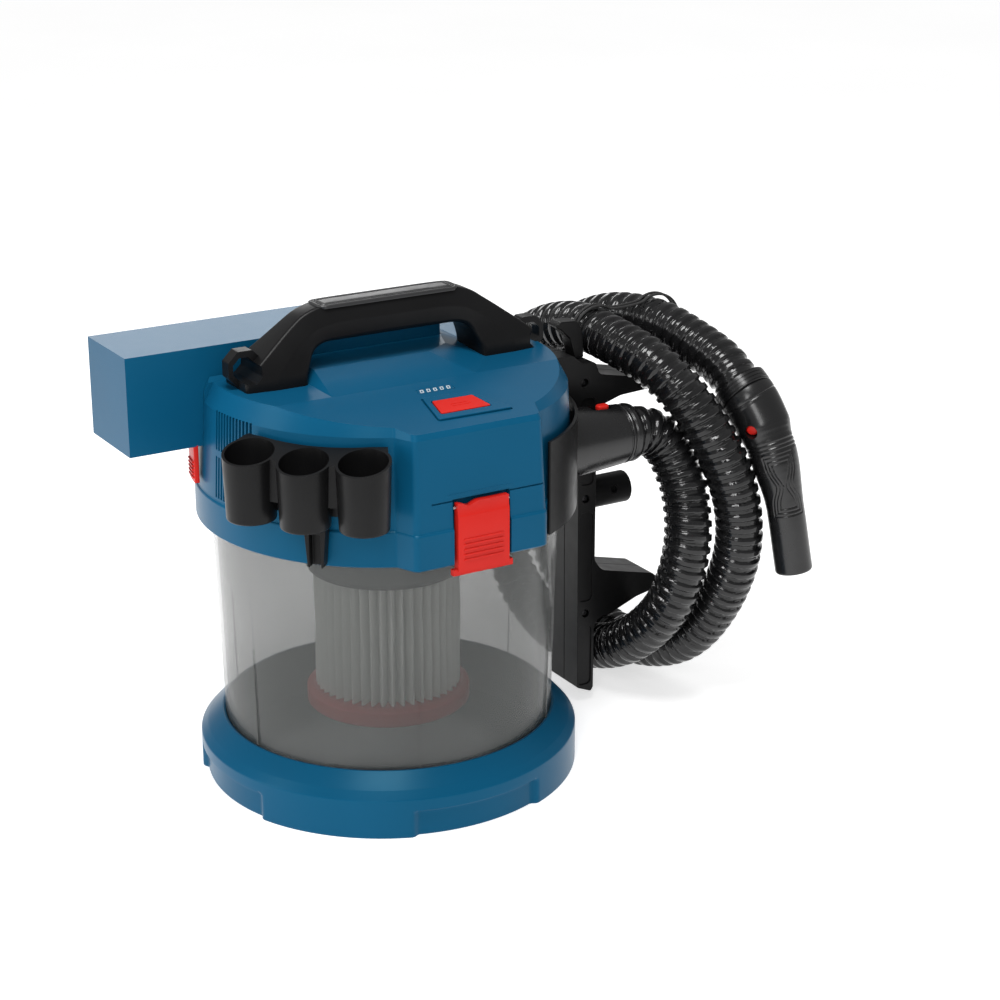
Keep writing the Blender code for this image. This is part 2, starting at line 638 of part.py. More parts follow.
def make_motor():
    x, y = MOTOR_XY
    at = (x, y, 0)
    turned("fan_housing", [(0.0065, 0.2578), (0.0500, 0.2578), (0.0500, 0.2333), (0.0180, 0.2333),
                           (0.0180, 0.2353), (0.0478, 0.2353), (0.0478, 0.2556), (0.0065, 0.2556)],
           MAT["dark"], 28, at)
    fan = turned("fan_impeller", [(0.0029, 0.2530), (0.0080, 0.2530), (0.0450, 0.2500), (0.0450, 0.2486),
                                  (0.0100, 0.2486), (0.0080, 0.2400), (0.0029, 0.2400)], MAT["dark"], 24, at)
    blades = []
    for k in range(9):
        bm = box_bm((0.0070, -0.0007, 0.2385), (0.0440, 0.0007, 0.2492))
        turn = Matrix.Rotation(math.tau * k / 9, 4, "Z")
        spin = Matrix.Translation(at) @ turn @ Matrix.Translation((0, 0.004, 0))
        bmesh.ops.transform(bm, matrix=spin, verts=bm.verts)
        blades.append(bm)
    join(fan, gathered("fan_blades", blades))
    rod("motor_shaft", (x, y, 0.2390), (x, y, 0.3120), 0.0025, MAT["steel"], 16)
    turned("motor_can", [(0.0060, 0.3085), (0.0260, 0.3085), (0.0260, 0.2600), (0.0060, 0.2600),
                         (0.0060, 0.2615),
                         (0.0245, 0.2615), (0.0245, 0.3070), (0.0060, 0.3070)], MAT["steel"], 24, at)
    turned("motor_magnets", [(0.0195, 0.3020), (0.0242, 0.3020), (0.0242, 0.2670), (0.0195, 0.2670)],
           MAT["dark"], 24, at)
    slots = [(radius * math.cos(a), radius * math.sin(a)) for radius, a in
             [((0.0180, 0.0180, 0.0125, 0.0125)[k % 4], math.tau * (k + (0.0, 0.2, -0.2, 0.0)[k % 4]) / 40)
              for k in range(40)]]
    armature = prism("motor_armature", slots, 0.2690, 0.3000, MAT["copper"], frame=Matrix.Translation(at))
    cut(armature, rod("armature_bore", (x, y, 0.26), (x, y, 0.31), 0.0028, segments=16))


def make_battery():
    bay = box("battery_bay", (-0.1015, 0.0235, 0.2590), (0.0220, 0.0930, 0.3180), MAT["dark"])
    cut(bay, box("bay_hollow", (-0.0997, 0.0253, 0.2608), (0.0202, 0.0912, 0.3300)))
    pack = box("battery_pack", (-0.0985, 0.0270, 0.2612), (0.0135, 0.0900, 0.3060), MAT["black"], bevel=0.003)
    join(pack, box("pack_shoulder", (-0.0875, 0.0330, 0.3000), (0.0005, 0.0840, 0.3170)))
    fins = [box_bm((0.0141, y, 0.2700), (0.0185, y + 0.0012, 0.2950)) for y in (0.045, 0.0525, 0.060, 0.0675)]
    contacts = box("battery_contacts", (0.0180, 0.0430, 0.2660), (0.0198, 0.0710, 0.2990), MAT["copper"])
    join(contacts, gathered("contact_fins", fins))
    board = box("control_board", (0.0420, 0.0240, 0.2640), (0.0980, 0.0860, 0.2656), MAT["board"])
    chips = [box_bm((0.0470, 0.0300, 0.2650), (0.0610, 0.0440, 0.2720)),
             box_bm((0.0660, 0.0300, 0.2650), (0.0840, 0.0370, 0.2800)),
             rod_bm((0.0880, 0.0740, 0.2650), (0.0880, 0.0740, 0.2850), 0.0050, 12)]
    join(board, gathered("board_chips", chips))


# ---------------------------------------------------------------- filter
def make_filter():
    pleats = 44
    star = [((FILTER_R if k % 2 == 0 else FILTER_R - 0.011) * math.cos(math.pi * k / pleats),
             (FILTER_R if k % 2 == 0 else FILTER_R - 0.011) * math.sin(math.pi * k / pleats))
            for k in range(2 * pleats)]
    paper = prism("filter_pleats", star, FILTER_LOW, FILTER_HIGH, MAT["paper"])
    cut(paper, rod("filter_core", (0, 0, 0.05), (0, 0, 0.21), 0.0370, segments=32))
    turned("filter_collar", [(0.0605, PLATE_Z - GAP), (0.0605, 0.1960), (0.0590, FILTER_HIGH + GAP),
                             (0.0330, FILTER_HIGH + GAP), (0.0330, 0.1940), (0.0400, 0.1980),
                             (0.0400, PLATE_Z - GAP)], MAT["dark"], 32)
    turned("filter_cap", [(0, FILTER_LOW - GAP), (0.0600, FILTER_LOW - GAP), (0.0655, 0.0625),
                          (0.0655, 0.0530),
                          (0.0630, 0.0510), (0.0480, 0.0510), (0.0460, 0.0560), (0, 0.0560)], MAT["red"], 36)
    cage = turned("filter_cage", [(0.0322, 0.1935), (0.0322, FILTER_LOW), (0.0362, FILTER_LOW),
                                  (0.0362, 0.1898),
                                  (0.0327, 0.1898), (0.0327, 0.1935)][::-1], MAT["dark"], 24)
    windows = []
    for k in range(8):
        bm = box_bm((0.028, -0.0085, 0.0740), (0.040, 0.0085, 0.1820))
        bmesh.ops.transform(bm, matrix=Matrix.Rotation(math.tau * (k + 0.5) / 8, 4, "Z"), verts=bm.verts)
        windows.append(bm)
    cut(cage, gathered("cage_windows", windows))
    turned("float_cup", [(0, 0.1150), (0.0200, 0.1150), (0.0240, 0.1110), (0.0240, FILTER_LOW + GAP),
                         (0.0220, FILTER_LOW + GAP), (0.0220, 0.1100), (0, 0.1100)], MAT["light"], 24)


# ---------------------------------------------------------------- nozzle cups on the head's front left
def make_nozzle_holder():
    centres = [(CUP_RING_R * math.cos(math.radians(a)), CUP_RING_R * math.sin(math.radians(a)))
               for a in CUP_ANGLES_DEG]
    mean = math.radians(sum(CUP_ANGLES_DEG) / 3)
    plate = prism("nozzle_holder", band_outline(HEAD_R + 0.0003, 0.1600, 200.5, 243.0, 15), 0.2600, 0.3085,
                  MAT["black"])
    cups, bores = [], []
    for x, y in centres:
        cups.append(rod_bm((x, y, CUP_BOTTOM), (x, y, 0.3120), CUP_R - 0.001, 24, CUP_R))
        bores.append(rod_bm((x, y, CUP_BOTTOM + CUP_WALL), (x, y, 0.3200), CUP_R - CUP_WALL - 0.001, 24,
                            CUP_R - CUP_WALL))
    for k, bm in enumerate(cups):
        join(plate, gathered(f"cup_{k}", [bm]))
    tilt = (Matrix.Translation((CUP_RING_R * math.cos(mean), CUP_RING_R * math.sin(mean), CUP_TOP))
            @ Matrix.Rotation(mean, 4, "Z") @ Matrix.Rotation(math.radians(CUP_TILT_DEG), 4, "Y"))
    trim = box_bm((-0.060, -0.090, 0.0), (0.060, 0.090, 0.060))
    bmesh.ops.transform(trim, matrix=tilt, verts=trim.verts)
    wall = turned_bm([(0, 0.36), (HEAD_R + 0.0003, 0.36), (HEAD_R + 0.0003, 0.20), (0, 0.20)], 96)
    cut(plate, gathered("cup_trim", [trim]), gathered("cup_bores", bores), gathered("cup_wall", [wall]))
    middle = math.radians(CUP_ANGLES_DEG[1] + 1.0)
    clip = box_bm((HEAD_R + 0.0016, -0.0085, 0.2185), (HEAD_R + 0.0110, 0.0085, 0.2525))
    bmesh.ops.transform(clip, matrix=Matrix.Rotation(middle, 4, "Z"), verts=clip.verts)
    clip_obj = gathered("brush_clip", [clip], MAT["black"])
    soften(clip_obj, 0.001, 1)
    slot = box_bm((HEAD_R + 0.0050, -0.0055, 0.2150), (HEAD_R + 0.0150, 0.0055, 0.2440))
    bmesh.ops.transform(slot, matrix=Matrix.Rotation(middle, 4, "Z"), verts=slot.verts)
    cut(clip_obj, gathered("clip_slot", [slot]))


# ---------------------------------------------------------------- hose inlet and connector
def make_connector():
    at = (0, PORT_Y, PORT_Z)
    panel = prism("inlet_flange", band_outline(HEAD_R + GAP, HEAD_R + 0.0028, *PANEL_DEG, 25), *PANEL_Z,
                  MAT["black"])
    cut(panel, rod("panel_hole", (0.120, PORT_Y, PORT_Z), (0.165, PORT_Y, PORT_Z), PANEL_HOLE_R,
                   segments=32))
    conn = turned("hose_connector", [(0.0175, CONN_END), (0.0243, CONN_END), (0.0277, 0.1520),
                                     (0.0277, 0.1300),
                                     (0.0110, 0.1300), (0.0110, 0.1440), (0.0175, 0.1480)],
                  MAT["black"], 28, at, (1, 0, 0))
    seat = [(0, 0.36), (CONN_SEAT_R, 0.36), (CONN_SEAT_R, 0.19), (0, 0.19)]
    cut(conn, turned("connector_wall", seat, None, 96))
    join(conn, turned("spigot", [(0.0110, 0.1450), (0.0130, 0.1450), (0.0130, 0.1330), (0.0110, 0.1330)],
                      None, 28,
                      at, (1, 0, 0)))
    cut(conn, box("release_pocket", (0.1755, PORT_Y - 0.0045, PORT_Z + 0.0205),
                  (0.1875, PORT_Y + 0.0045, PORT_Z + 0.0400)))
    box("connector_release", (0.1760, PORT_Y - 0.0040, PORT_Z + 0.0225),
        (0.1870, PORT_Y + 0.0040, PORT_Z + 0.0272),
        MAT["red"], bevel=0.001)
    ridges = [(0.0175, CUFF_END), (0.0232, CUFF_END), (0.0240, 0.2055), (0.0232, 0.2050), (0.0240, 0.2020),
              (0.0232, 0.2015), (0.0242, 0.1980), (0.0242, CONN_END + GAP), (0.0175, CONN_END + GAP)]
    turned("connector_cuff", ridges, MAT["black"], 28, at, (1, 0, 0))


# ---------------------------------------------------------------- hose, nozzle and holder
def hose_end_direction(whole):
    last = 8 * (len(HOSE_POINTS) - 1)
    return (whole[last + 1] - whole[last - 1]).normalized()


def make_hose():
    """Close samples round the tight bend at the connector, wider ones along the loops."""
    whole = catmull(HOSE_POINTS + NOZZLE_POINTS[1:])
    fine = evenly(whole[:8 * (len(HOSE_POINTS) - 1) + 1], 3 * HOSE_SAMPLES + 1)
    route = fine[:10] + fine[12:-3:3] + fine[-2:-1] + fine[-1:]
    route.insert(1, route[0] + Vector((0.003, 0, 0)))
    route[-2] = route[-1] - hose_end_direction(whole) * 0.006
    tube("hose", route, HOSE_R, MAT["black"], 3)


def make_nozzle():
    whole = catmull(HOSE_POINTS + NOZZLE_POINTS[1:])
    path = evenly(whole[8 * (len(HOSE_POINTS) - 1):], 17)
    start = hose_end_direction(whole)
    cuff_path = [path[0] + start * d for d in (0.0008, 0.0060, 0.0120)]
    add("nozzle_cuff", swept_bm(cuff_path, [0.0242, 0.0242, 0.0235], 22), MAT["black"])
    rest = [path[0] + start * 0.0126, path[0] + start * 0.0160,
            *[p for p in path if (p - path[0]).length > 0.021]]
    total = len(rest) - 1
    radii = []
    for i in range(len(rest)):
        t = i / total
        radii.append(0.0232 - 0.0030 * min(t / 0.28, 1.0) - 0.0047 * min(max((t - 0.22) / 0.35, 0), 1.0))
    grip = add("hand_nozzle", swept_bm(rest, radii, 22), MAT["black"])
    end = (rest[-1] - rest[-2]).normalized()
    cut(grip, rod("nozzle_bore", rest[-1] - end * 0.045, rest[-1] + end * 0.004, 0.0132, segments=22))
    spot, out = path[3], Vector((-0.72, -0.62, -0.30)).normalized()
    surface = spot + out * 0.0205
    cut(grip, rod("nozzle_pocket", surface - out * 0.0060, surface + out * 0.012, 0.0050, segments=16))
    release = rod("nozzle_release", surface - out * 0.0034, surface + out * 0.0024, 0.0046, MAT["red"], 16)
    soften(release, 0.001, 1)


def half_space(name, rear):
    low, high = (HOLDER_MID_Y - 0.0002, 0.1) if not rear else (-0.05, HOLDER_MID_Y + 0.0002)
    return box(name, (0.1, low, -0.05), (0.4, high, 0.4))


def make_holder():
    """Hose holder: two moulded halves screwed together, hooked on the head's right side."""
    x0, x1 = HOLDER_X
    z0, z1 = HOLDER_Z
    outline = [(x0 + 0.002, z0 + 0.006), (x1 - 0.002, z0), (x1, z0 + 0.003), (x1, 0.0740), (0.2150, 0.0765),
               (0.2400, 0.0860), (0.2610, 0.0900), (0.2610, 0.1000), (0.2560, 0.1040), (0.2040, 0.1170),
               (x1 + 0.0015, 0.1210), (x1, 0.1270), (x1, 0.2540), (0.2020, 0.2620), (0.2200, 0.2675),
               (0.2500, 0.2690), (0.2920, 0.2660), (0.2935, 0.2690), (0.2920, 0.2725), (0.2500, 0.2780),
               (0.2280, 0.2825), (x1 + 0.002, 0.2885), (x1 - 0.001, 0.2950), (x1 - 0.003, z1),
               (x0 + 0.004, z1),
               (x0 - 0.006, 0.3080), (0.1380, 0.3080), (0.1380, 0.2720), (x0 - 0.006, 0.2690), (x0, 0.2600)]
    wall = turned("holder_wall", [(0, 0.36), (HEAD_R + GAP, 0.36), (HEAD_R + GAP, 0.25), (0, 0.25)], None, 96)
    spots = [(0.1850, 0.2830), (0.1875, 0.1830), (0.1885, 0.0810)]
    for rear, tag in ((False, "front"), (True, "rear")):
        half = prism(f"holder_{tag}", outline, *HOLDER_Y, MAT["black"], frame=XZ_FRAME, bevel=0.0012,
                     segments=1)
        join(half, rod(f"peg_{tag}", (x1 - 0.002, HOLDER_MID_Y, 0.1800), (0.2380, HOLDER_MID_Y, 0.1800),
                       0.0135,
                       segments=18))
        cut(half, half_space(f"split_{tag}", rear), wall)
        if not rear:
            front = HOLDER_Y[0]
            holes = [rod_bm((x, front - 0.002, z), (x, front + 0.0045, z), 0.0034, 14) for x, z in spots]
            cut(half, gathered("screw_holes", holes))
    for k, (x, z) in enumerate(spots):
        rod(f"holder_screw_{k + 1}", (x, HOLDER_Y[0] + 0.0016, z), (x, HOLDER_Y[0] + 0.0042, z), 0.0030,
            MAT["steel"], 12)


def make_strap():
    """Elastic strap over both upper turns of the hose, from its hook to the holder's arm."""
    clear = HOSE_R + 0.0020
    route = evenly(catmull(HOSE_POINTS), 400)
    tops = [(a + b) / 2 for a, b in zip(route, route[1:]) if (a.y - 0.036) * (b.y - 0.036) <= 0 and a.z > 0.3]
    inner = [(0.1955, 0.3004), (tops[0].x - clear, 0.3150)]
    inner += arc(tops[0].x, tops[0].z, clear, 175, 55, 9)
    inner += arc(tops[1].x + 0.0018, tops[1].z, clear + 0.0012, 128, -10, 11)
    inner += [(0.2958, 0.2900), (0.2918, 0.2732)]
    thick = 0.0018
    outer = []
    for i, (x, z) in enumerate(inner):
        ax, az = inner[max(i - 1, 0)]
        bx, bz = inner[min(i + 1, len(inner) - 1)]
        length = math.hypot(bx - ax, bz - az)
        outer.append((x - (bz - az) / length * thick, z + (bx - ax) / length * thick))
    prism("hose_strap", inner + outer[::-1], 0.0320, 0.0400, MAT["rubber"], frame=XZ_FRAME)
    hook = prism("strap_hook", [(0.1835, 0.3004), (0.1925, 0.3004), (0.1915, 0.3200), (0.1870, 0.3320),
                                (0.1700, 0.3330),
                                (0.1640, 0.3290), (0.1700, 0.3260), (0.1790, 0.3180)], 0.0140, 0.0280,
                 MAT["black"], frame=XZ_FRAME)
    soften(hook, 0.001, 1)


clear_scene()
PARTS = new_collection("shop_vacuum")
CUTTERS = new_collection("cutters")
MAT = {
    "blue": material("blue_plastic", BLUE, 0.42),
    "red": material("red_plastic", RED, 0.38),
    "black": material("black_plastic", BLACK, 0.45),
    "dark": material("dark_plastic", DARK, 0.55),
    "smoke": material("smoked_polycarbonate", (0.20, 0.21, 0.21), 0.12, alpha=0.45),
    "rubber": material("rubber", (0.015, 0.015, 0.015), 0.75),
    "paper": material("filter_paper", (0.72, 0.73, 0.70), 0.85),
    "steel": material("steel", STEEL, 0.3, 1.0),
    "copper": material("copper", (0.45, 0.22, 0.10), 0.35, 1.0),
    "board": material("board", (0.02, 0.10, 0.04), 0.5),
    "light": material("light_plastic", (0.35, 0.42, 0.48), 0.4),
}
make_base()
make_container()
make_head_shell()
make_lid_latch()
make_latch(-1, "front")
make_latch(1, "rear")
make_controls()
make_handle()
make_air_path()
make_motor()
make_battery()
make_filter()
make_nozzle_holder()
make_connector()
make_hose()
make_nozzle()
make_holder()
make_strap()
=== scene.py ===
"""Looks of the cordless shop vacuum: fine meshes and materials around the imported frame.

Metres, +Z up, the frame of the CAD model.  The front latch faces -Y and the hose side is +X.
"""
import json
import math

import bmesh
import bpy
import numpy as np
from mathutils import Matrix, Vector

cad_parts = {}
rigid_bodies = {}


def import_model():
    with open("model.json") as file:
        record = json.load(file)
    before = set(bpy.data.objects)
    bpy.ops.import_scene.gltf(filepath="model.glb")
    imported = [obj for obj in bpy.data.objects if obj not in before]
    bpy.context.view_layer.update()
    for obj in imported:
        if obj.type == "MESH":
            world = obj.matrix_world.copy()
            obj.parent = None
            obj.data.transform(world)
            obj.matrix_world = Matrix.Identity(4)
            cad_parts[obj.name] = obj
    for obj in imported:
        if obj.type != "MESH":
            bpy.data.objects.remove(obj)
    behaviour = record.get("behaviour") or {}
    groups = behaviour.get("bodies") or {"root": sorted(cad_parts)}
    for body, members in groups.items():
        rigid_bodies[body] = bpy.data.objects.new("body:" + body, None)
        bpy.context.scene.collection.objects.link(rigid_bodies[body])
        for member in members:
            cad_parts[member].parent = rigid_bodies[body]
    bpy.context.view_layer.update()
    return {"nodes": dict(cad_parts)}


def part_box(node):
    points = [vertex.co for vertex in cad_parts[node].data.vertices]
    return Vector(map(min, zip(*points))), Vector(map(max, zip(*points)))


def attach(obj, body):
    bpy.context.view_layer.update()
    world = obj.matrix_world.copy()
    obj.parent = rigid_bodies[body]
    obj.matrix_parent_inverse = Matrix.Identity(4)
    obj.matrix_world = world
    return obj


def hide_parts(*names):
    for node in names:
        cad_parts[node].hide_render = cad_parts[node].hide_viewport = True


for leftover in list(bpy.data.objects):
    bpy.data.objects.remove(leftover, do_unlink=True)
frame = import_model()
SCENE = bpy.context.scene

# ---------------------------------------------------------------- driving dimensions
HEAD_LOW, HEAD_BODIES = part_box("head_shell")
BASE_LOW, BASE_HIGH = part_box("base_ring")
TUB_LOW, TUB_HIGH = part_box("container")
HEAD_R = 0.1465
FRONT_Y = 0.150
FRONT_HALF = 0.055
HEAD_Z = HEAD_LOW.z
BAND_TOP = 0.244
DECK_Z = 0.328
DECK_TILT = math.atan2(0.0095, 0.075)
BLOCK_Z = 0.336
WALL = 0.0028

# hose route, the same centre-line points as the CAD model's
HOSE_POINTS = [
    (0.2096, -0.030, 0.2465), (0.2200, -0.0302, 0.2458), (0.2315, -0.0318, 0.2405),
    (0.2410, -0.0365, 0.2300), (0.2465, -0.0435, 0.2140), (0.2490, -0.053, 0.1920),
    (0.2460, -0.062, 0.1530), (0.2375, -0.052, 0.1000),
    (0.2270, -0.010, 0.0530), (0.2200, 0.040, 0.0315), (0.2140, 0.090, 0.0310),
    (0.2085, 0.140, 0.0580), (0.2050, 0.170, 0.1150), (0.2030, 0.175, 0.1850),
    (0.2035, 0.157, 0.2520), (0.2070, 0.115, 0.2940), (0.2140, 0.062, 0.3137),
    (0.2232, 0.010, 0.3090), (0.2372, -0.035, 0.2925), (0.2600, -0.064, 0.2515),
    (0.2800, -0.077, 0.2000), (0.2870, -0.077, 0.1500), (0.2870, -0.055, 0.0950),
    (0.2790, -0.018, 0.0470), (0.2690, 0.028, 0.0265), (0.2600, 0.080, 0.0270),
    (0.2550, 0.135, 0.0560), (0.2520, 0.170, 0.1150), (0.2500, 0.175, 0.1850),
    (0.2500, 0.157, 0.2500), (0.2500, 0.115, 0.2930), (0.2592, 0.070, 0.3136),
    (0.2763, 0.030, 0.3140), (0.2904, -0.005, 0.3020), (0.2980, -0.032, 0.2905),
    (0.3010, -0.050, 0.2775),
]
NOZZLE_POINTS = [(0.3010, -0.050, 0.2775), (0.3060, -0.0675, 0.2600), (0.3092, -0.083, 0.2372),
                 (0.3148, -0.096, 0.1980), (0.3230, -0.106, 0.1292)]
HOSE_R = 0.0198
HOSE_PITCH = 0.0098
RINGS_PER_PITCH = 12
HOSE_SIDES = 44


# ---------------------------------------------------------------- camera
def make_camera():
    """Standing height, a little left of the front, looking down at the machine."""
    bearing, distance, height = math.radians(28.0), 1.6923, 0.8166
    heading, pitch = math.radians(31.03), math.radians(19.542)
    data = bpy.data.cameras.new("camera")
    data.sensor_width = 36.0
    data.lens = 82.8
    camera = bpy.data.objects.new("camera", data)
    SCENE.collection.objects.link(camera)
    camera.location = (-math.sin(bearing) * distance, -math.cos(bearing) * distance, height)
    camera.rotation_euler = (math.pi / 2 - pitch, 0.0, -heading)
    SCENE.camera = camera


make_camera()


# ---------------------------------------------------------------- curve and mesh helpers
def catmull(points, per_span=8):
    """Smooth curve through the points (centripetal Catmull-Rom)."""
    pts = [Vector(p) for p in points]
    ext = [2 * pts[0] - pts[1], *pts, 2 * pts[-1] - pts[-2]]
    out = []
    for p0, p1, p2, p3 in zip(ext, ext[1:], ext[2:], ext[3:]):
        t0 = 0.0
        t1 = t0 + (p1 - p0).length ** 0.5
        t2 = t1 + (p2 - p1).length ** 0.5
        t3 = t2 + (p3 - p2).length ** 0.5
        for k in range(per_span):
            t = t1 + (t2 - t1) * k / per_span
            a1 = (t1 - t) / (t1 - t0) * p0 + (t - t0) / (t1 - t0) * p1
            a2 = (t2 - t) / (t2 - t1) * p1 + (t - t1) / (t2 - t1) * p2
            a3 = (t3 - t) / (t3 - t2) * p2 + (t - t2) / (t3 - t2) * p3
            b1 = (t2 - t) / (t2 - t0) * a1 + (t - t0) / (t2 - t0) * a2
            b2 = (t3 - t) / (t3 - t1) * a2 + (t - t1) / (t3 - t1) * a3
            out.append((t2 - t) / (t2 - t1) * b1 + (t - t1) / (t2 - t1) * b2)
    out.append(pts[-1])
    return out


def evenly(points, step):
    """The polyline again with points about one step apart, as an array."""
    pts = np.array([tuple(p) for p in points])
    along = np.concatenate([[0.0], np.cumsum(np.linalg.norm(np.diff(pts, axis=0), axis=1))])
    count = max(2, int(round(along[-1] / step)) + 1)
    want = np.linspace(0.0, along[-1], count)
    return np.stack([np.interp(want, along, pts[:, k]) for k in range(3)], axis=1), want


def smooth(value, low, high):
    t = np.clip((value - low) / (high - low), 0.0, 1.0)
    return t * t * (3.0 - 2.0 * t)


def frames_along(path):
    """Tangent and two side directions at each point, carried along without twisting."""
    ahead = np.gradient(path, axis=0)
    ahead /= np.linalg.norm(ahead, axis=1)[:, None]
    sides = np.zeros_like(path)
    side = np.array([0.0, 1.0, 0.0])
    for i, t in enumerate(ahead):
        side = side - t * side.dot(t)
        side /= np.linalg.norm(side)
        sides[i] = side
    return ahead, sides, np.cross(ahead, sides)


def grid_mesh(name, rows, wrap=True, cap_low=None, cap_high=None):
    """Quads between equal rows of points; each end may close to a point."""
    rows = np.asarray(rows)
    count, sides = rows.shape[:2]
    verts = [tuple(p) for p in rows.reshape(-1, 3)]
    faces = []
    last = sides if wrap else sides - 1
    for i in range(count - 1):
        for j in range(last):
            k = (j + 1) % sides
            faces.append((i * sides + j, i * sides + k, (i + 1) * sides + k, (i + 1) * sides + j))
    for tip, row in ((cap_low, 0), (cap_high, count - 1)):
        if tip is not None:
            verts.append(tuple(tip))
            for j in range(last):
                faces.append((row * sides + j, row * sides + (j + 1) % sides, len(verts) - 1))
    mesh = bpy.data.meshes.new(name)
    mesh.from_pydata(verts, [], faces)
    tidy_mesh(mesh)
    return mesh


def tidy_mesh(mesh, merge=1e-6):
    bm = bmesh.new()
    bm.from_mesh(mesh)
    bmesh.ops.remove_doubles(bm, verts=bm.verts, dist=merge)
    bmesh.ops.recalc_face_normals(bm, faces=bm.faces)
    bm.to_mesh(mesh)
    bm.free()


def piece(name, source, mat, body, replaced=(), sharp=32.0, bevel=0.0, segments=2, crease=None):
    """A visible object from a mesh or bmesh: it rides on a body and stands for CAD nodes."""
    if isinstance(source, bmesh.types.BMesh):
        mesh = bpy.data.meshes.new(name)
        bmesh.ops.recalc_face_normals(source, faces=source.faces)
        source.to_mesh(mesh)
        source.free()
    else:
        mesh = source
        tidy_mesh(mesh)
    mesh.name = name
    mesh.materials.clear()
    mesh.materials.append(mat)
    mesh.shade_smooth()
    mesh.set_sharp_from_angle(angle=math.radians(crease or sharp))
    obj = bpy.data.objects.new(name, mesh)
    SCENE.collection.objects.link(obj)
    if bevel:
        mod = obj.modifiers.new("edges", "BEVEL")
        mod.width = bevel
        mod.segments = segments
        mod.limit_method = "ANGLE"
        mod.angle_limit = math.radians(sharp)
        mod.harden_normals = True
        mod.use_clamp_overlap = True
    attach(obj, body)
    if replaced:
        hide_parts(*replaced)
    return obj


def toward(axis):
    return Vector((0, 0, 1)).rotation_difference(Vector(axis)).to_matrix().to_4x4()


def box_bm(lo, hi, matrix=None):
    bm = bmesh.new()
    lo, hi = Vector(lo), Vector(hi)
    place = Matrix.Translation((lo + hi) / 2) @ Matrix.Diagonal((*(hi - lo), 1.0))
    bmesh.ops.create_cube(bm, size=1.0, matrix=place)
    if matrix:
        bmesh.ops.transform(bm, matrix=matrix, verts=bm.verts)
    return bm


def rod_bm(start, end, radius, segments=32, radius_end=None):
    start, end = Vector(start), Vector(end)
    bm = bmesh.new()
    bmesh.ops.create_cone(bm, cap_ends=True, segments=segments, radius1=radius,
                          radius2=radius if radius_end is None else radius_end,
                          depth=(end - start).length,
                          matrix=Matrix.Translation((start + end) / 2) @ toward(end - start))
    return bm


def rounded(points, radii, steps=5, closed=True):
    """The outline with each corner replaced by an arc; a radius of 0 keeps it sharp."""
    out = []
    count = len(points)
    if not hasattr(radii, "__len__"):
        radii = [radii] * count
    for i, (point, radius) in enumerate(zip(points, radii)):
        if radius == 0 or (not closed and i in (0, count - 1)):
            out.append(tuple(point))
            continue
        p = Vector((*point, 0.0))
        before = Vector((*points[i - 1], 0.0)) - p
        after = Vector((*points[(i + 1) % count], 0.0)) - p
        half = before.angle(after) / 2
        reach = min(radius / math.tan(half), 0.48 * before.length, 0.48 * after.length)
        real = reach * math.tan(half)
        centre = p + (before.normalized() + after.normalized()).normalized() * (real / math.sin(half))
        first = p + before.normalized() * reach - centre
        last = p + after.normalized() * reach - centre
        turn = first.xy.angle_signed(last.xy)
        for k in range(steps + 1):
            arm = Matrix.Rotation(-turn * k / steps, 3, "Z") @ first
            out.append(tuple((centre + arm).xy))
    return out


def turned_bm(profile, segments=96, origin=(0, 0, 0), axis=(0, 0, 1)):
    """Spin a closed, or axis-to-axis, (radius, height) profile."""
    bm = bmesh.new()
    on_axis = profile[0][0] == 0 and profile[-1][0] == 0
    verts = [bm.verts.new((r, 0, z)) for r, z in profile]
    edges = [bm.edges.new(pair) for pair in zip(verts, verts[1:])]
    if not on_axis:
        edges.append(bm.edges.new((verts[-1], verts[0])))
    bmesh.ops.spin(bm, geom=verts + edges, cent=(0, 0, 0), axis=(0, 0, 1), angle=math.tau,
                   steps=segments, use_merge=True, use_duplicate=False)
    bmesh.ops.remove_doubles(bm, verts=bm.verts, dist=1e-6)
    bmesh.ops.transform(bm, matrix=Matrix.Translation(origin) @ toward(axis), verts=bm.verts)
    bmesh.ops.recalc_face_normals(bm, faces=bm.faces)
    return bm


XZ_FRAME = Matrix(((1, 0, 0, 0), (0, 0, 1, 0), (0, 1, 0, 0), (0, 0, 0, 1)))
YZ_FRAME = Matrix(((0, 0, 1, 0), (1, 0, 0, 0), (0, 1, 0, 0), (0, 0, 0, 1)))


def prism_bm(outline, low, high, matrix=None):
    bm = bmesh.new()
    face = bm.faces.new([bm.verts.new((x, y, low)) for x, y in outline])
    grown = bmesh.ops.extrude_face_region(bm, geom=[face])
    top = [v for v in grown["geom"] if isinstance(v, bmesh.types.BMVert)]
    bmesh.ops.translate(bm, verts=top, vec=(0, 0, high - low))
    if matrix:
        bmesh.ops.transform(bm, matrix=matrix, verts=bm.verts)
    bmesh.ops.recalc_face_normals(bm, faces=bm.faces)
    return bm


def gathered(pieces):
    whole = bmesh.new()
    for bm in pieces:
        bmesh.ops.recalc_face_normals(bm, faces=bm.faces)
        mesh = bpy.data.meshes.new("part")
        bm.to_mesh(mesh)
        bm.free()
        whole.from_mesh(mesh)
        bpy.data.meshes.remove(mesh)
    return whole


def temp_object(source):
    if isinstance(source, bmesh.types.BMesh):
        bmesh.ops.recalc_face_normals(source, faces=source.faces)
        mesh = bpy.data.meshes.new("temp")
        source.to_mesh(mesh)
        source.free()
    else:
        mesh = source
    obj = bpy.data.objects.new("temp", mesh)
    SCENE.collection.objects.link(obj)
    return obj


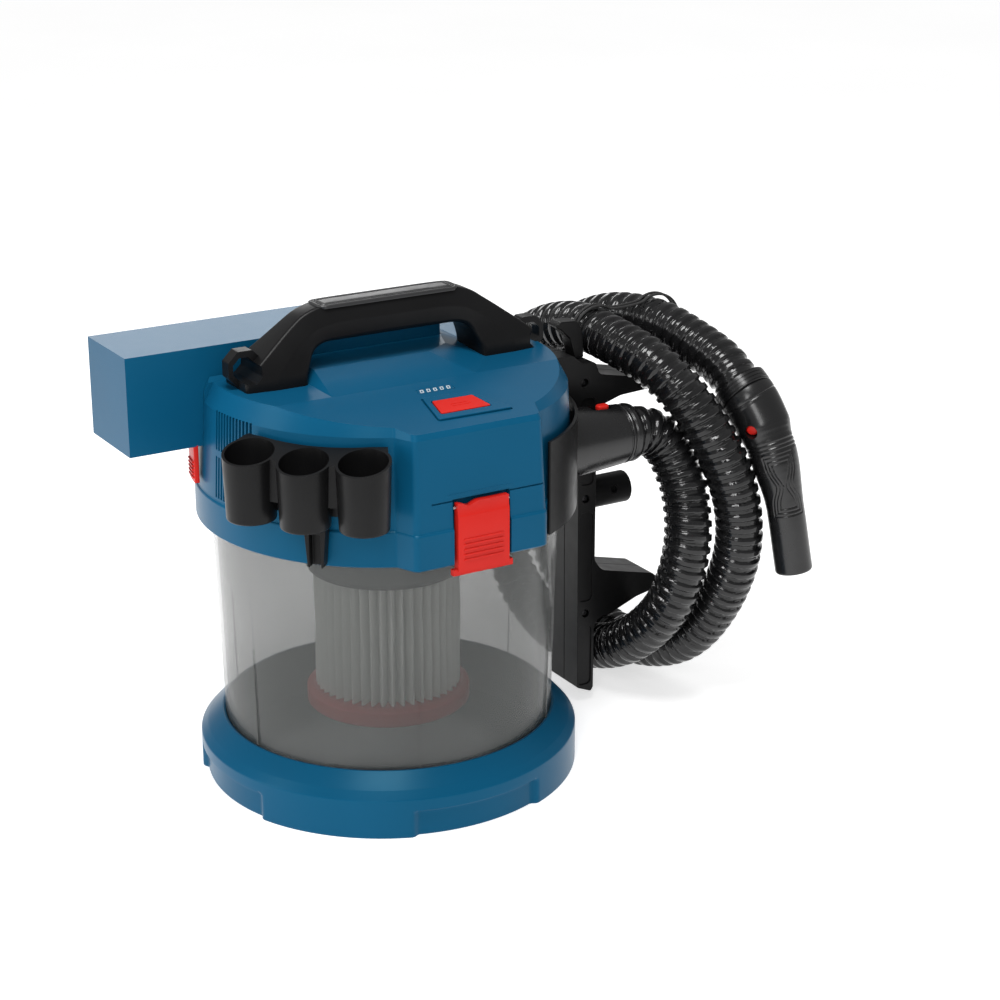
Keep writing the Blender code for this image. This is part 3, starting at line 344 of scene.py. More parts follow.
def combined(start, *steps):
    """Apply Boolean steps (operation, solid) one after another and return the mesh."""
    obj = temp_object(start)
    helpers = []
    for operation, solid in steps:
        helper = temp_object(solid)
        helpers.append(helper)
        mod = obj.modifiers.new(operation, "BOOLEAN")
        mod.operation = operation
        mod.object = helper
        mod.solver = "EXACT"
    deps = bpy.context.evaluated_depsgraph_get()
    mesh = bpy.data.meshes.new_from_object(obj.evaluated_get(deps))
    for item in [obj, *helpers]:
        old = item.data
        bpy.data.objects.remove(item)
        bpy.data.meshes.remove(old)
    return mesh


def arc(cx, cy, radius, start_deg, end_deg, count):
    steps = [math.radians(start_deg + (end_deg - start_deg) * i / (count - 1)) for i in range(count)]
    return [(cx + radius * math.cos(a), cy + radius * math.sin(a)) for a in steps]


def band_outline(r_in, r_out, start_deg, end_deg, count):
    return (arc(0, 0, r_out, start_deg, end_deg, count) + arc(0, 0, r_in, end_deg, start_deg, count))


# ---------------------------------------------------------------- materials
class Shader:
    """A Principled material with short calls for the texture nodes that feed it."""

    def __init__(self, name, **constants):
        self.mat = bpy.data.materials.new(name)
        self.mat.use_nodes = True
        self.tree = self.mat.node_tree
        self.bsdf = self.tree.nodes["Principled BSDF"]
        for key, value in constants.items():
            self.bsdf.inputs[key.replace("_", " ")].default_value = value
        self.coords = self.tree.nodes.new("ShaderNodeTexCoord").outputs["Object"]
        self.height = None

    def link(self, out, socket):
        self.tree.links.new(out, socket)

    def noise(self, scale, detail=3.0, rough=0.55, stretch=None):
        node = self.tree.nodes.new("ShaderNodeTexNoise")
        node.inputs["Scale"].default_value = scale
        node.inputs["Detail"].default_value = detail
        node.inputs["Roughness"].default_value = rough
        source = self.coords
        if stretch:
            mapping = self.tree.nodes.new("ShaderNodeMapping")
            mapping.inputs["Scale"].default_value = stretch
            self.link(source, mapping.inputs["Vector"])
            source = mapping.outputs["Vector"]
        self.link(source, node.inputs["Vector"])
        return node.outputs["Fac"]

    def cells(self, scale, feature="F1"):
        node = self.tree.nodes.new("ShaderNodeTexVoronoi")
        node.inputs["Scale"].default_value = scale
        node.feature = feature
        self.link(self.coords, node.inputs["Vector"])
        return node.outputs["Distance"]

    def spread(self, value, low, high, out_low, out_high):
        node = self.tree.nodes.new("ShaderNodeMapRange")
        for key, number in (("From Min", low), ("From Max", high), ("To Min", out_low), ("To Max", out_high)):
            node.inputs[key].default_value = number
        self.link(value, node.inputs["Value"])
        return node.outputs["Result"]

    def ramp(self, value, stops):
        node = self.tree.nodes.new("ShaderNodeValToRGB")
        ramp = node.color_ramp
        while len(ramp.elements) < len(stops):
            ramp.elements.new(0.5)
        for element, (place, color) in zip(ramp.elements, stops):
            element.position = place
            element.color = (*color, 1.0)
        self.link(value, node.inputs["Fac"])
        return node.outputs["Color"]

    def bump(self, value, distance, strength=1.0):
        node = self.tree.nodes.new("ShaderNodeBump")
        node.inputs["Distance"].default_value = distance
        node.inputs["Strength"].default_value = strength
        self.link(value, node.inputs["Height"])
        if self.height is not None:
            self.link(self.height, node.inputs["Normal"])
        self.height = node.outputs["Normal"]
        self.link(self.height, self.bsdf.inputs["Normal"])

    def color(self, value):
        self.link(value, self.bsdf.inputs["Base Color"])

    def roughness(self, value):
        self.link(value, self.bsdf.inputs["Roughness"])


def moulded(name, dark, light, low, high, grain=0.00005, grain_scale=1500.0, **constants):
    """Injection-moulded plastic: fine spark-erosion grain, faint flow marks, uneven gloss."""
    s = Shader(name, **constants)
    broad = s.noise(14.0, 1.0)
    s.color(s.ramp(broad, [(0.30, dark), (0.72, light)]))
    s.roughness(s.spread(s.noise(90.0, 1.5), 0.2, 0.8, low, high))
    s.bump(s.noise(grain_scale, 2.0), grain, 0.5)
    s.bump(s.noise(24.0, 2.0), 0.00003, 0.3)
    return s


def make_materials():
    mats = {}
    mats["blue"] = moulded("blue_moulded_plastic", (0.0026, 0.070, 0.147), (0.0032, 0.075, 0.157), 0.29, 0.31,
                           Specular_IOR_Level=0.15, Specular_Tint=(0.40, 0.85, 1.0, 1.0)).mat
    mats["red"] = moulded("red_moulded_plastic", (0.50, 0.012, 0.008), (0.60, 0.018, 0.012), 0.28, 0.36,
                          grain=0.00003, Specular_IOR_Level=0.16).mat
    mats["black"] = moulded("black_moulded_plastic", (0.0045, 0.0045, 0.0048), (0.0075, 0.0075, 0.0078), 0.30, 0.40,
                            grain=0.00007, grain_scale=1100.0, Specular_IOR_Level=0.15).mat
    mats["grip"] = moulded("soft_grip", (0.010, 0.010, 0.011), (0.016, 0.016, 0.017), 0.34, 0.42,
                           grain=0.00010, grain_scale=1700.0, Specular_IOR_Level=0.65).mat
    mats["satin"] = moulded("satin_black_plastic", (0.0040, 0.0040, 0.0044), (0.0065, 0.0065, 0.0070), 0.20, 0.30,
                            grain=0.00003, Specular_IOR_Level=0.55).mat
    mats["dark"] = moulded("dark_grey_plastic", (0.030, 0.031, 0.033), (0.042, 0.043, 0.045), 0.48, 0.6).mat
    mats["rubber"] = moulded("rubber", (0.010, 0.010, 0.010), (0.017, 0.017, 0.017), 0.55, 0.72,
                             grain=0.00012, grain_scale=900.0).mat
    mats["light"] = moulded("milky_plastic", (0.42, 0.48, 0.52), (0.52, 0.58, 0.62), 0.25, 0.4).mat
    mats["board"] = moulded("circuit_board", (0.012, 0.07, 0.025), (0.03, 0.14, 0.05), 0.3, 0.5,
                            grain_scale=500.0).mat

    hose = Shader("glossy_hose_plastic", Coat_Weight=0.55, Coat_Roughness=0.04, Specular_IOR_Level=0.15)
    hose.color(hose.ramp(hose.noise(30.0, 4.0), [(0.3, (0.0055, 0.0055, 0.006)), (0.75, (0.011, 0.011, 0.0115))]))
    hose.roughness(hose.spread(hose.noise(120.0, 4.0), 0.3, 0.7, 0.13, 0.25))
    hose.bump(hose.noise(210.0, 3.0), 0.00055, 0.6)
    mats["hose"] = hose.mat

    smoke = Shader("smoked_clear_plastic", Alpha=0.39, IOR=1.5)
    smoke.color(smoke.ramp(smoke.noise(9.0, 3.0), [(0.3, (0.082, 0.087, 0.084)), (0.7, (0.100, 0.106, 0.102))]))
    smoke.roughness(smoke.spread(smoke.noise(30.0, 4.0), 0.3, 0.7, 0.14, 0.22))
    smoke.bump(smoke.noise(18.0, 2.0), 0.0002, 0.3)
    mats["smoke"] = smoke.mat

    paper = Shader("filter_paper", Sheen_Weight=0.15)
    fibres = paper.noise(700.0, 5.0, 0.7, (1.0, 1.0, 0.25))
    paper.color(paper.ramp(fibres, [(0.3, (0.62, 0.63, 0.60)), (0.7, (0.78, 0.79, 0.76))]))
    paper.roughness(paper.spread(fibres, 0.3, 0.7, 0.78, 0.95))
    paper.bump(fibres, 0.0003, 0.6)
    mats["paper"] = paper.mat

    steel = Shader("steel", Metallic=1.0)
    lines = steel.noise(260.0, 4.0, 0.6, (1.0, 1.0, 0.08))
    steel.color(steel.ramp(lines, [(0.3, (0.45, 0.45, 0.46)), (0.7, (0.62, 0.62, 0.63))]))
    steel.roughness(steel.spread(lines, 0.3, 0.7, 0.22, 0.40))
    steel.bump(lines, 0.00003, 0.5)
    mats["steel"] = steel.mat

    oxide = Shader("blackened_steel", Metallic=1.0)
    spots = oxide.noise(300.0, 4.0)
    oxide.color(oxide.ramp(spots, [(0.3, (0.030, 0.030, 0.032)), (0.7, (0.050, 0.050, 0.052))]))
    oxide.roughness(oxide.spread(spots, 0.3, 0.7, 0.35, 0.50))
    mats["oxide"] = oxide.mat

    copper = Shader("copper", Metallic=1.0)
    wound = copper.noise(900.0, 3.0, 0.5, (1.0, 1.0, 0.1))
    copper.color(copper.ramp(wound, [(0.3, (0.42, 0.17, 0.07)), (0.7, (0.68, 0.32, 0.15))]))
    copper.roughness(copper.spread(wound, 0.3, 0.7, 0.25, 0.45))
    copper.bump(wound, 0.0001, 0.6)
    mats["copper"] = copper.mat
    return mats


MAT = make_materials()


# ---------------------------------------------------------------- hose and hand nozzle
WHOLE = catmull(HOSE_POINTS + NOZZLE_POINTS[1:])
HOSE_LAST = 8 * (len(HOSE_POINTS) - 1)
HOSE_END_WAY = np.array((WHOLE[HOSE_LAST + 1] - WHOLE[HOSE_LAST - 1]).normalized())


def swept_rows(path, radius_at, sides):
    """Rows of points round the path; radius_at takes (distance, angle) arrays."""
    steps = np.linalg.norm(np.diff(path, axis=0), axis=1)
    along = np.concatenate([[0.0], np.cumsum(steps)])
    _, side, up = frames_along(path)
    angle = np.linspace(0.0, math.tau, sides, endpoint=False)
    s, a = np.meshgrid(along, angle, indexing="ij")
    radius = radius_at(s, a)[..., None]
    return path[:, None, :] + radius * (np.cos(a)[..., None] * side[:, None, :]
                                        + np.sin(a)[..., None] * up[:, None, :])


def make_hose():
    """Spiral-ribbed suction hose: raised helix ribs over a thinner wall, a plain sleeve at each end."""
    path, along = evenly(WHOLE[:HOSE_LAST + 1], HOSE_PITCH / RINGS_PER_PITCH)
    total = along[-1]

    def radius_at(s, a):
        phase = (s / HOSE_PITCH + a / math.tau) % 1.0
        away = np.abs(phase - 0.5) * 2.0
        rib = smooth(away, 0.36, 0.60)
        step = 0.16 * np.exp(-((phase - 0.5) / 0.06) ** 2)
        plain = np.minimum(smooth(s, 0.0, 0.006), smooth(total - s, 0.0, 0.006))
        return HOSE_R - 0.0024 + 0.0024 * (rib + step) * plain

    rows = swept_rows(path, radius_at, HOSE_SIDES)
    mesh = grid_mesh("hose", rows, cap_low=path[0], cap_high=path[-1])
    hose = piece("ribbed_hose", mesh, MAT["hose"], "head", ["hose"], sharp=60.0)
    return hose, path


def groove(distance, depth, width=0.0007):
    return -depth * np.exp(-(distance / width) ** 2)


def make_nozzle():
    """Curved hand nozzle: stepped cuff, wide socket, ringed neck and a sculpted grip."""
    start = np.array(WHOLE[HOSE_LAST])
    cuff_path = np.array([start + HOSE_END_WAY * d for d in np.linspace(0.0006, 0.0124, 40)])

    def cuff_radius(s, a):
        ends = np.sqrt(np.clip(smooth(s, -0.0005, 0.0012) * smooth(0.0118 - s, -0.0005, 0.0012), 0.0, 1.0))
        ribs = 0.0006 * (np.abs(((s - 0.0015) / 0.0030) % 1.0 - 0.5) < 0.30)
        return 0.0212 + 0.0020 * ends + ribs

    rows = swept_rows(cuff_path, cuff_radius, 72)
    cuff = piece("nozzle_cuff_ribbed", grid_mesh("cuff", rows, cap_low=cuff_path[0], cap_high=cuff_path[-1]),
                 MAT["satin"], "head", ["nozzle_cuff"], sharp=40.0)

    tail = [tuple(p) for p in WHOLE[HOSE_LAST:]]
    path, along = evenly([tuple(start + HOSE_END_WAY * 0.0126), tuple(start + HOSE_END_WAY * 0.0160)]
                         + [p for p in tail if math.dist(p, tail[0]) > 0.021], 0.0006)
    total = along[-1]

    def grip_radius(s, a):
        wide = 0.0236 - 0.0010 * smooth(s, 0.0, 0.030) - 0.0026 * smooth(s, 0.028, 0.041)
        body = wide - 0.0046 * smooth(s, 0.046, 0.100)
        lip = -0.0010 * (1 - smooth(s, 0.0, 0.0012)) - 0.0006 * smooth(s, total - 0.0012, total)
        rings = sum(groove(s - at, 0.0007, 0.00055) for at in (0.0055, 0.0430, 0.0462, 0.0494))
        turn = (a - math.radians(200.0) + math.pi) % math.tau - math.pi
        across = np.abs(turn) * body
        centre = 0.077
        lengthwise = np.abs(s - centre)
        waist = 0.0100 - 0.0055 * np.exp(-((s - centre) / 0.009) ** 2)
        shape = np.maximum(across - waist, lengthwise - 0.0215)
        lines = sum(groove(shape - d, 0.0006, 0.00042) for d in (-0.0030, 0.0, 0.0030))
        return body + lip + rings + lines

    rows = swept_rows(path, grip_radius, 220)
    solid = grid_mesh("grip", rows, cap_low=path[0], cap_high=path[-1])
    end = (path[-1] - path[-4]) / np.linalg.norm(path[-1] - path[-4])
    bore = rod_bm(path[-1] - end * 0.045, path[-1] + end * 0.004, 0.0140, 64)
    spot = Vector(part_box("nozzle_release")[0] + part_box("nozzle_release")[1]) / 2
    out = Vector((-0.72, -0.62, -0.30)).normalized()
    pocket = rod_bm(spot - out * 0.0060, spot + out * 0.012, 0.0052, 40)
    mesh = combined(solid, ("DIFFERENCE", gathered([bore, pocket])))
    grip = piece("hand_nozzle_body", mesh, MAT["satin"], "head", ["hand_nozzle"], sharp=38.0)

    button = turned_bm(rounded([(0, -0.0030), (0.0046, -0.0030), (0.0046, 0.0030), (0, 0.0032)], [0, 0.0006, 0.0014, 0],
                               5, False), 48, spot, out)
    release = piece("nozzle_release_button", button, MAT["red"], "nozzle_button", ["nozzle_release"])
    return cuff, grip, release


hose, hose_path = make_hose()
nozzle_pieces = make_nozzle()


# ---------------------------------------------------------------- base and tub
BASE_R = 0.150
BASE_TOP = BASE_HIGH.z
RECESS_TOP = 0.0215
RECESS_DEPTH = 0.0042
TUB_R = (0.1300, 0.1346)
TUB_NECK = 0.2195


def tub_radius(z):
    return TUB_R[0] + (TUB_R[1] - TUB_R[0]) * (z - BASE_TOP) / (TUB_NECK - BASE_TOP)


def make_base():
    """Base with four recessed stretches whose ends slope, and a softly dished upper face."""
    seat = tub_radius(BASE_TOP) + 0.0004
    outline = rounded([(0.0, 0.005), (tub_radius(0.005) + 0.0004, 0.005), (seat, BASE_TOP - 0.0008),
                       (seat + 0.0022, BASE_TOP), (0.1445, 0.0375), (BASE_R, 0.0315), (BASE_R, 0.0), (0.0, 0.0)],
                      [0, 0.001, 0.0004, 0.0010, 0.006, 0.0022, 0.0012, 0], 6, False)
    profile = []
    for a, b in zip(outline, outline[1:]):
        steps = max(1, int(math.dist(a, b) / 0.0016)) if a[0] > 0.14 and b[0] > 0.14 else 1
        profile += [(a[0] + (b[0] - a[0]) * i / steps, a[1] + (b[1] - a[1]) * i / steps) for i in range(steps)]
    profile.append(outline[-1])
    sides = 480
    angles = np.linspace(0.0, math.tau, sides, endpoint=False)
    off = np.abs((np.degrees(angles) + 45.0) % 90.0 - 45.0)
    inside = 1.0 - smooth(off, 19.6, 21.6)
    rows = []
    for r, z in profile:
        low = 1.0 - smooth(z, RECESS_TOP - 0.0012, RECESS_TOP + 0.0012)
        radius = r - (RECESS_DEPTH * inside * low if r > 0.14 and z < 0.0315 else 0.0 * inside)
        rows.append(np.stack([radius * np.cos(angles), radius * np.sin(angles), np.full(sides, z)], axis=1))
    piece("base_ring_moulding", grid_mesh("base", rows), MAT["blue"], "tub", ["base_ring"], sharp=50.0)


def make_tub():
    """Blow-moulded tub with a rolled rim, mould ribs and the lugs that the latches hook."""
    foot = 0.0053
    floor = 0.0085
    inner = [(0.0, floor), (tub_radius(floor) - WALL, floor), (tub_radius(0.2260) - WALL, 0.2260)]
    outer = [(0.1400, 0.2260), (0.1400, 0.2215), (0.1350, TUB_NECK - 0.001), (tub_radius(foot), foot), (0.0, foot)]
    profile = rounded(inner + outer, [0, 0.006, 0.0008, 0.0012, 0.0012, 0.001, 0.005, 0], 5, False)
    body = turned_bm(profile, 192)
    lugs = [box_bm((-0.016, min(side * 0.1310, side * 0.1450), 0.2085), (0.016, max(side * 0.1310, side * 0.1450), 0.2135))
            for side in (-1, 1)]
    struts = [box_bm((x - 0.0009, min(side * 0.1310, side * 0.1385), 0.2030),
                     (x + 0.0009, max(side * 0.1310, side * 0.1385), 0.2100))
              for side in (-1, 1) for x in (-0.0140, 0.0, 0.0140)]
    ribs = [prism_bm([(0.1285, 0.0300), (0.1302, 0.0300), (0.1318, 0.0495), (0.1330, 0.1280), (0.1308, 0.1330)],
                     -0.0006, 0.0006, Matrix.Rotation(math.radians(degrees), 4, "Z") @ XZ_FRAME)
            for degrees in (192.0, 252.0, 312.0, 12.0, 72.0, 132.0)]
    mesh = combined(body, ("UNION", gathered(lugs)), ("UNION", gathered(struts)), ("UNION", gathered(ribs)))
    piece("clear_tub", mesh, MAT["smoke"], "tub", ["container"], sharp=35.0)


# ---------------------------------------------------------------- filter
def make_filter():
    low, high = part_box("filter_pleats")
    pleats, per = 44, 8
    angles = np.linspace(0.0, math.tau, pleats * per, endpoint=False)
    wave = 0.5 + 0.5 * np.cos(angles * pleats)
    outer = 0.0468 + 0.0108 * wave ** 0.8
    rows = []
    for t in np.linspace(0.0, 1.0, 24):
        z = low.z + (high.z - low.z) * t
        sway = 0.0005 * np.sin(t * 9.0 + angles * 5.0) * np.sin(math.pi * t)
        rows.append(np.stack([(outer + sway) * np.cos(angles), (outer + sway) * np.sin(angles),
                              np.full(angles.size, z)], axis=1))
    inner = [np.stack([0.0372 * np.cos(angles), 0.0372 * np.sin(angles), np.full(angles.size, z)], axis=1)
             for z in (high.z, low.z)]
    piece("pleated_paper", grid_mesh("pleats", rows + inner + rows[:1]), MAT["paper"], "head", ["filter_pleats"],
          sharp=70.0)

    low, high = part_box("filter_collar")
    collar = rounded([(0.0640, high.z), (0.0640, 0.1695), (0.0622, 0.1655), (0.0590, 0.1650), (0.0590, 0.1930),
                      (0.0330, low.z), (0.0330, 0.1960), (0.0400, 0.1985), (0.0400, high.z)],
                     [0, 0.001, 0.001, 0.0004, 0.0004, 0.0004, 0.0004, 0.001, 0], 4)
    piece("filter_collar_ring", turned_bm(collar, 128), MAT["dark"], "head", ["filter_collar"])
    low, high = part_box("filter_cap")
    cap = rounded([(0.0, high.z), (0.0598, high.z), (0.0650, 0.0630), (0.0650, 0.0525), (0.0630, low.z),
                   (0.0480, low.z), (0.0460, 0.0560), (0.0, 0.0560)], [0, 0.0008, 0.0015, 0.001, 0.0008, 0.001, 0.001, 0],
                  4, False)
    piece("filter_cap_ring", turned_bm(cap, 128), MAT["red"], "head", ["filter_cap"])


# ---------------------------------------------------------------- head shell
def head_polygon(inset):
    """Plan of the head: a round body with flat latch panels at the front and back."""
    radius = HEAD_R - inset
    joint = 0.062 - 0.4 * inset
    joint_deg = math.degrees(math.acos(joint / radius))
    half, flat = FRONT_HALF - 0.41 * inset, FRONT_Y - inset
    right = arc(0, 0, radius, -joint_deg, joint_deg, 121)
    left = arc(0, 0, radius, 180 - joint_deg, 180 + joint_deg, 121)
    corners = right + [(half, flat), (-half, flat)] + left + [(-half, -flat), (half, -flat)]
    radii = ([0.010] + [0] * 119 + [0.010] + [0.0055, 0.0055]) * 2
    return rounded(corners, radii, 20)


def polar_angles():
    """Directions at which every ring is sampled, closer together at the panel corners."""
    corners = [math.atan2(y, x) for x, y in
               ((FRONT_HALF, FRONT_Y), (-FRONT_HALF, FRONT_Y), (-FRONT_HALF, -FRONT_Y), (FRONT_HALF, -FRONT_Y))]
    base = np.linspace(-math.pi, math.pi, 1441)[:-1]
    density = 1.0 + sum(3.5 * np.exp(-((base - c) / 0.09) ** 2) for c in corners)
    total = np.concatenate([[0.0], np.cumsum(density)])
    total /= total[-1]
    return np.interp(np.linspace(0.0, 1.0, 640, endpoint=False), total, np.append(base, math.pi))


ANGLES = polar_angles()


def ring_radius(inset):
    """Distance from the axis to the head's outline at each sampled direction."""
    outline = np.array(head_polygon(inset))
    bearing = np.arctan2(outline[:, 1], outline[:, 0])
    order = np.argsort(bearing)
    far = np.hypot(outline[:, 0], outline[:, 1])[order]
    bearing = bearing[order]
    direct = np.stack([np.cos(ANGLES), np.sin(ANGLES)], axis=1)
    pts = outline[order]
    nxt = np.roll(pts, -1, axis=0)
    spot = np.searchsorted(bearing, ANGLES) - 1
    a, b = pts[spot % len(pts)], nxt[spot % len(pts)]
    edge = b - a
    cross = direct[:, 0] * edge[:, 1] - direct[:, 1] * edge[:, 0]
    flat = np.abs(cross) < 1e-9
    reach = (a[:, 0] * edge[:, 1] - a[:, 1] * edge[:, 0]) / np.where(flat, 1.0, cross)
    return np.where(flat, far[spot % len(pts)], reach)


SHOULDER = (0.0055, 0.0129)          # inset of the shoulder's lower and upper edge
SHOULDER_FALL = 1.85                 # its height per unit of inset


def ring(inset, z):
    radius = ring_radius(inset)
    return np.stack([radius * np.cos(ANGLES), radius * np.sin(ANGLES), np.full(ANGLES.size, z)], axis=1)


def walls_solid(inset, low):
    """Outer walls with the stepped band round the foot; they lean in towards the top."""
    rows = [ring(inset + 0.0010, low), ring(inset, low + 0.0010), ring(inset, BAND_TOP - 0.0012 - inset),
            ring(inset + 0.0004, BAND_TOP - 0.0003 - inset), ring(inset + 0.0011, BAND_TOP + 0.0003 - inset),
            ring(inset + 0.0014, BAND_TOP + 0.0014 - inset), ring(inset + SHOULDER[0], 0.3230),
            ring(inset + SHOULDER[0] + 0.0012, 0.3450)]
    return grid_mesh("walls", rows, cap_low=(0, 0, low), cap_high=(0, 0, 0.3450))


def tent_solid(inset, top, reach):
    """Limits the shoulder: a slope that rises inwards to the top's edge."""
    lift = 0.006
    low_z = top - inset - (SHOULDER[1] - reach) * SHOULDER_FALL
    high_z = top - inset + lift * SHOULDER_FALL
    rows = [ring(inset + reach, 0.15 + reach), ring(inset + reach, low_z), ring(inset + SHOULDER[1] + lift, high_z)]
    return grid_mesh("tent", rows, cap_low=(0, 0, 0.15 + reach), cap_high=(0, 0, high_z))


def deck_solid(inset):
    """Everything under the deck, which falls away at the front and back."""
    outline = [(-0.170, 0.19), (0.170, 0.19), (0.170, 0.3190 - inset), (0.110, DECK_Z - inset),
               (-0.060, DECK_Z - inset), (-0.170, DECK_Z - 0.110 * math.tan(DECK_TILT) - inset)]
    return prism_bm(outline, -0.2, 0.2, YZ_FRAME)


def block_solid(inset):
    """Raised battery block: a ramp at the front, sloping ends at the right and back."""
    foot = [(-0.0742 + inset, -0.0602 + inset), (0.047, -0.0602 + inset), (0.076 - inset, -0.028), (0.086 - inset, 0.020),
            (0.086 - inset, 0.1085 - inset), (-0.2, 0.1085 - inset), (-0.2, 0.0193 + inset), (-0.0742 + inset, 0.0193 + inset)]
    top = [(-0.0660 + inset, -0.015 + inset), (0.032, -0.015 + inset), (0.055 - inset, 0.000), (0.066 - inset, 0.030),
           (0.070 - inset, 0.0985 - inset), (-0.2, 0.0985 - inset), (-0.2, 0.0250 + inset), (-0.0660 + inset, 0.0250 + inset)]
    rows = [[(x, y, 0.20) for x, y in foot], [(x, y, DECK_Z - inset) for x, y in foot],
            [(x, y, BLOCK_Z - inset) for x, y in top]]
    return grid_mesh("block", rows, cap_low=(0, 0.04, 0.20), cap_high=(0, 0.04, BLOCK_Z - inset))


def head_solid(inset, low):
    deck = combined(tent_solid(inset, DECK_Z, -0.012), ("INTERSECT", deck_solid(inset)))
    block = combined(tent_solid(inset, BLOCK_Z, -0.015), ("INTERSECT", block_solid(inset)))
    return combined(walls_solid(inset, low), ("INTERSECT", combined(deck, ("UNION", block))))


LID_X = 0.0655
LID_Y = (0.0225, 0.0945)
LID_SIDE_Z = 0.2790


def lid_region(grow):
    """Solid that marks out the lid: rounded in plan at the hinge end, wrapping down the left wall."""
    plan = rounded([(-0.20, LID_Y[0] - grow), (LID_X + grow, LID_Y[0] - grow), (LID_X + grow, LID_Y[1] + grow),
                    (-0.20, LID_Y[1] + grow)], [0, 0.006 + grow, 0.006 + grow, 0], 8)
    bend = prism_bm([(-0.21, LID_SIDE_Z - grow), (-0.105 + grow, LID_SIDE_Z - grow), (-0.105 + grow, 0.3215),
                     (0.10, 0.3215), (0.10, 0.355), (-0.21, 0.355)], 0.0, 0.12, XZ_FRAME)
    return combined(prism_bm(plan, 0.26, 0.37), ("INTERSECT", bend))


def vent_slots():
    slots = []
    for low, high in ((0.2470, 0.2790), (0.2840, 0.3140)):
        for k in range(12):
            turn = Matrix.Rotation(math.radians(182.2 + 1.55 * k), 4, "Z")
            slots.append(box_bm((0.1360, -0.0012, low), (0.1520, 0.0012, high), turn))
    return slots


def button_frame():
    """Local frame of the power button, on the sloping front of the deck."""
    y = -0.106
    z = DECK_Z + (y + 0.060) * math.tan(DECK_TILT)
    return Matrix.Translation((0.006, y, z)) @ Matrix.Rotation(DECK_TILT, 4, "X")


def button_outline(grow, radius=0.0016):
    return rounded([(-0.0222 - grow, -0.0130 - grow), (0.0192 + grow, -0.0130 - grow),
                    (0.0155 + grow, 0.0085 + grow), (-0.0178 - grow, 0.0090 + grow)], radius, 5)


def bezel_outline(grow):
    corners = [(-0.0289, -0.0211), (0.0325, -0.0220), (0.0175, 0.0151), (-0.0214, 0.0175)]
    middle = (-0.001, -0.003)
    grown = [(x + math.copysign(grow, x - middle[0]), y + math.copysign(grow, y - middle[1])) for x, y in corners]
    return rounded(grown, [0.002, 0.0015, 0.003, 0.002], 5)


def lights_outline(grow):
    low, high = (-0.0180 - grow, 0.0268 - grow), (0.0120 + grow, 0.0334 + grow)
    return rounded([low, (high[0], low[1]), high, (low[0], high[1])], 0.0015, 5)


def make_head():
    """Thin-walled head with its openings cut through, and the battery lid cut from the same skin."""
    skin = combined(head_solid(0.0, HEAD_Z), ("DIFFERENCE", head_solid(WALL, HEAD_Z - 0.004)))

    lid = combined(skin.copy(), ("INTERSECT", lid_region(0.0)))
    piece("battery_lid_panel", lid, MAT["blue"], "lid", ["battery_lid"], sharp=28.0, bevel=0.0006, crease=6.8)

    place = button_frame()
    foot_room = prism_bm([(-0.1700, DECK_Z + 0.0001), (-0.0742, DECK_Z + 0.0001), (-0.0690, 0.3450), (-0.1700, 0.3450)],
                         -0.0620, 0.0193, XZ_FRAME)
    openings = [rod_bm((0.110, -0.030, 0.2465), (0.170, -0.030, 0.2465), 0.0290, 96),
                prism_bm(button_outline(0.0006), -0.012, 0.012, place)]
    shallow = [prism_bm(lights_outline(0.0003), -0.0012, 0.004, place),
               box_bm((-0.0410, -0.1560, 0.2644), (0.0530, -0.1464, 0.2657))]
    surround = prism_bm(bezel_outline(0.0008), -0.0012, 0.006, place)
    pockets, bosses = [], []
    for face in (-1, 1):
        ys = sorted((face * 0.1425, face * 0.1600))
        pockets.append(box_bm((-0.0240, ys[0], HEAD_Z - 0.002), (0.0240, ys[1], 0.2662)))
        ys = sorted((face * 0.1406, face * 0.1475))
        bosses.append(box_bm((-0.0275, ys[0], HEAD_Z + 0.001), (0.0275, ys[1], 0.2700)))
    shell = combined(skin, ("DIFFERENCE", foot_room), ("UNION", gathered(bosses)), ("DIFFERENCE", lid_region(0.0005)),
                     ("DIFFERENCE", gathered(openings)), ("DIFFERENCE", surround), ("DIFFERENCE", gathered(pockets)),
                     ("DIFFERENCE", gathered(shallow)), ("DIFFERENCE", gathered(vent_slots())))
    piece("head_moulding", shell, MAT["blue"], "head", ["head_shell"], sharp=28.0, bevel=0.0006, crease=6.8)


make_base()
make_tub()
make_filter()
make_head()


# ---------------------------------------------------------------- carry handle
HANDLE_Y = -0.003
HANDLE_TOP = 0.3840
EYES = ((-0.1185, 0.3430), (0.1255, 0.3355))


def handle_stations():
    """Outer edge, inner edge and width of the arch, from the left foot to the right one."""
    half = [((0.1235, 0.3235), (0.0745, 0.3270), 0.0440), ((0.1244, 0.3345), (0.0742, 0.3340), 0.0436),
            ((0.1195, 0.3415), (0.0728, 0.3390), 0.0420), ((0.1090, 0.3505), (0.0705, 0.3440), 0.0385),
            ((0.0995, 0.3580), (0.0680, 0.3485), 0.0350), ((0.0900, 0.3655), (0.0645, 0.3525), 0.0325),
            ((0.0815, 0.3720), (0.0590, 0.3553), 0.0310), ((0.0720, 0.3782), (0.0520, 0.3562), 0.0300),
            ((0.0600, 0.3824), (0.0420, 0.3562), 0.0296), ((0.0480, 0.3839), (0.0320, 0.3562), 0.0295),
            ((0.0300, 0.3840), (0.0200, 0.3562), 0.0295)]
    rows = [(-a[0], a[1], -b[0], b[1], w) for a, b, w in half]
    reach = (0.0050, 0.0050, 0.0040, 0.0030, 0.0020, 0.0010) + (0.0,) * 5
    rows += [(a[0] + more, a[1], b[0], b[1], w) for (a, b, w), more in zip(reversed(half), reversed(reach))]
    return rows


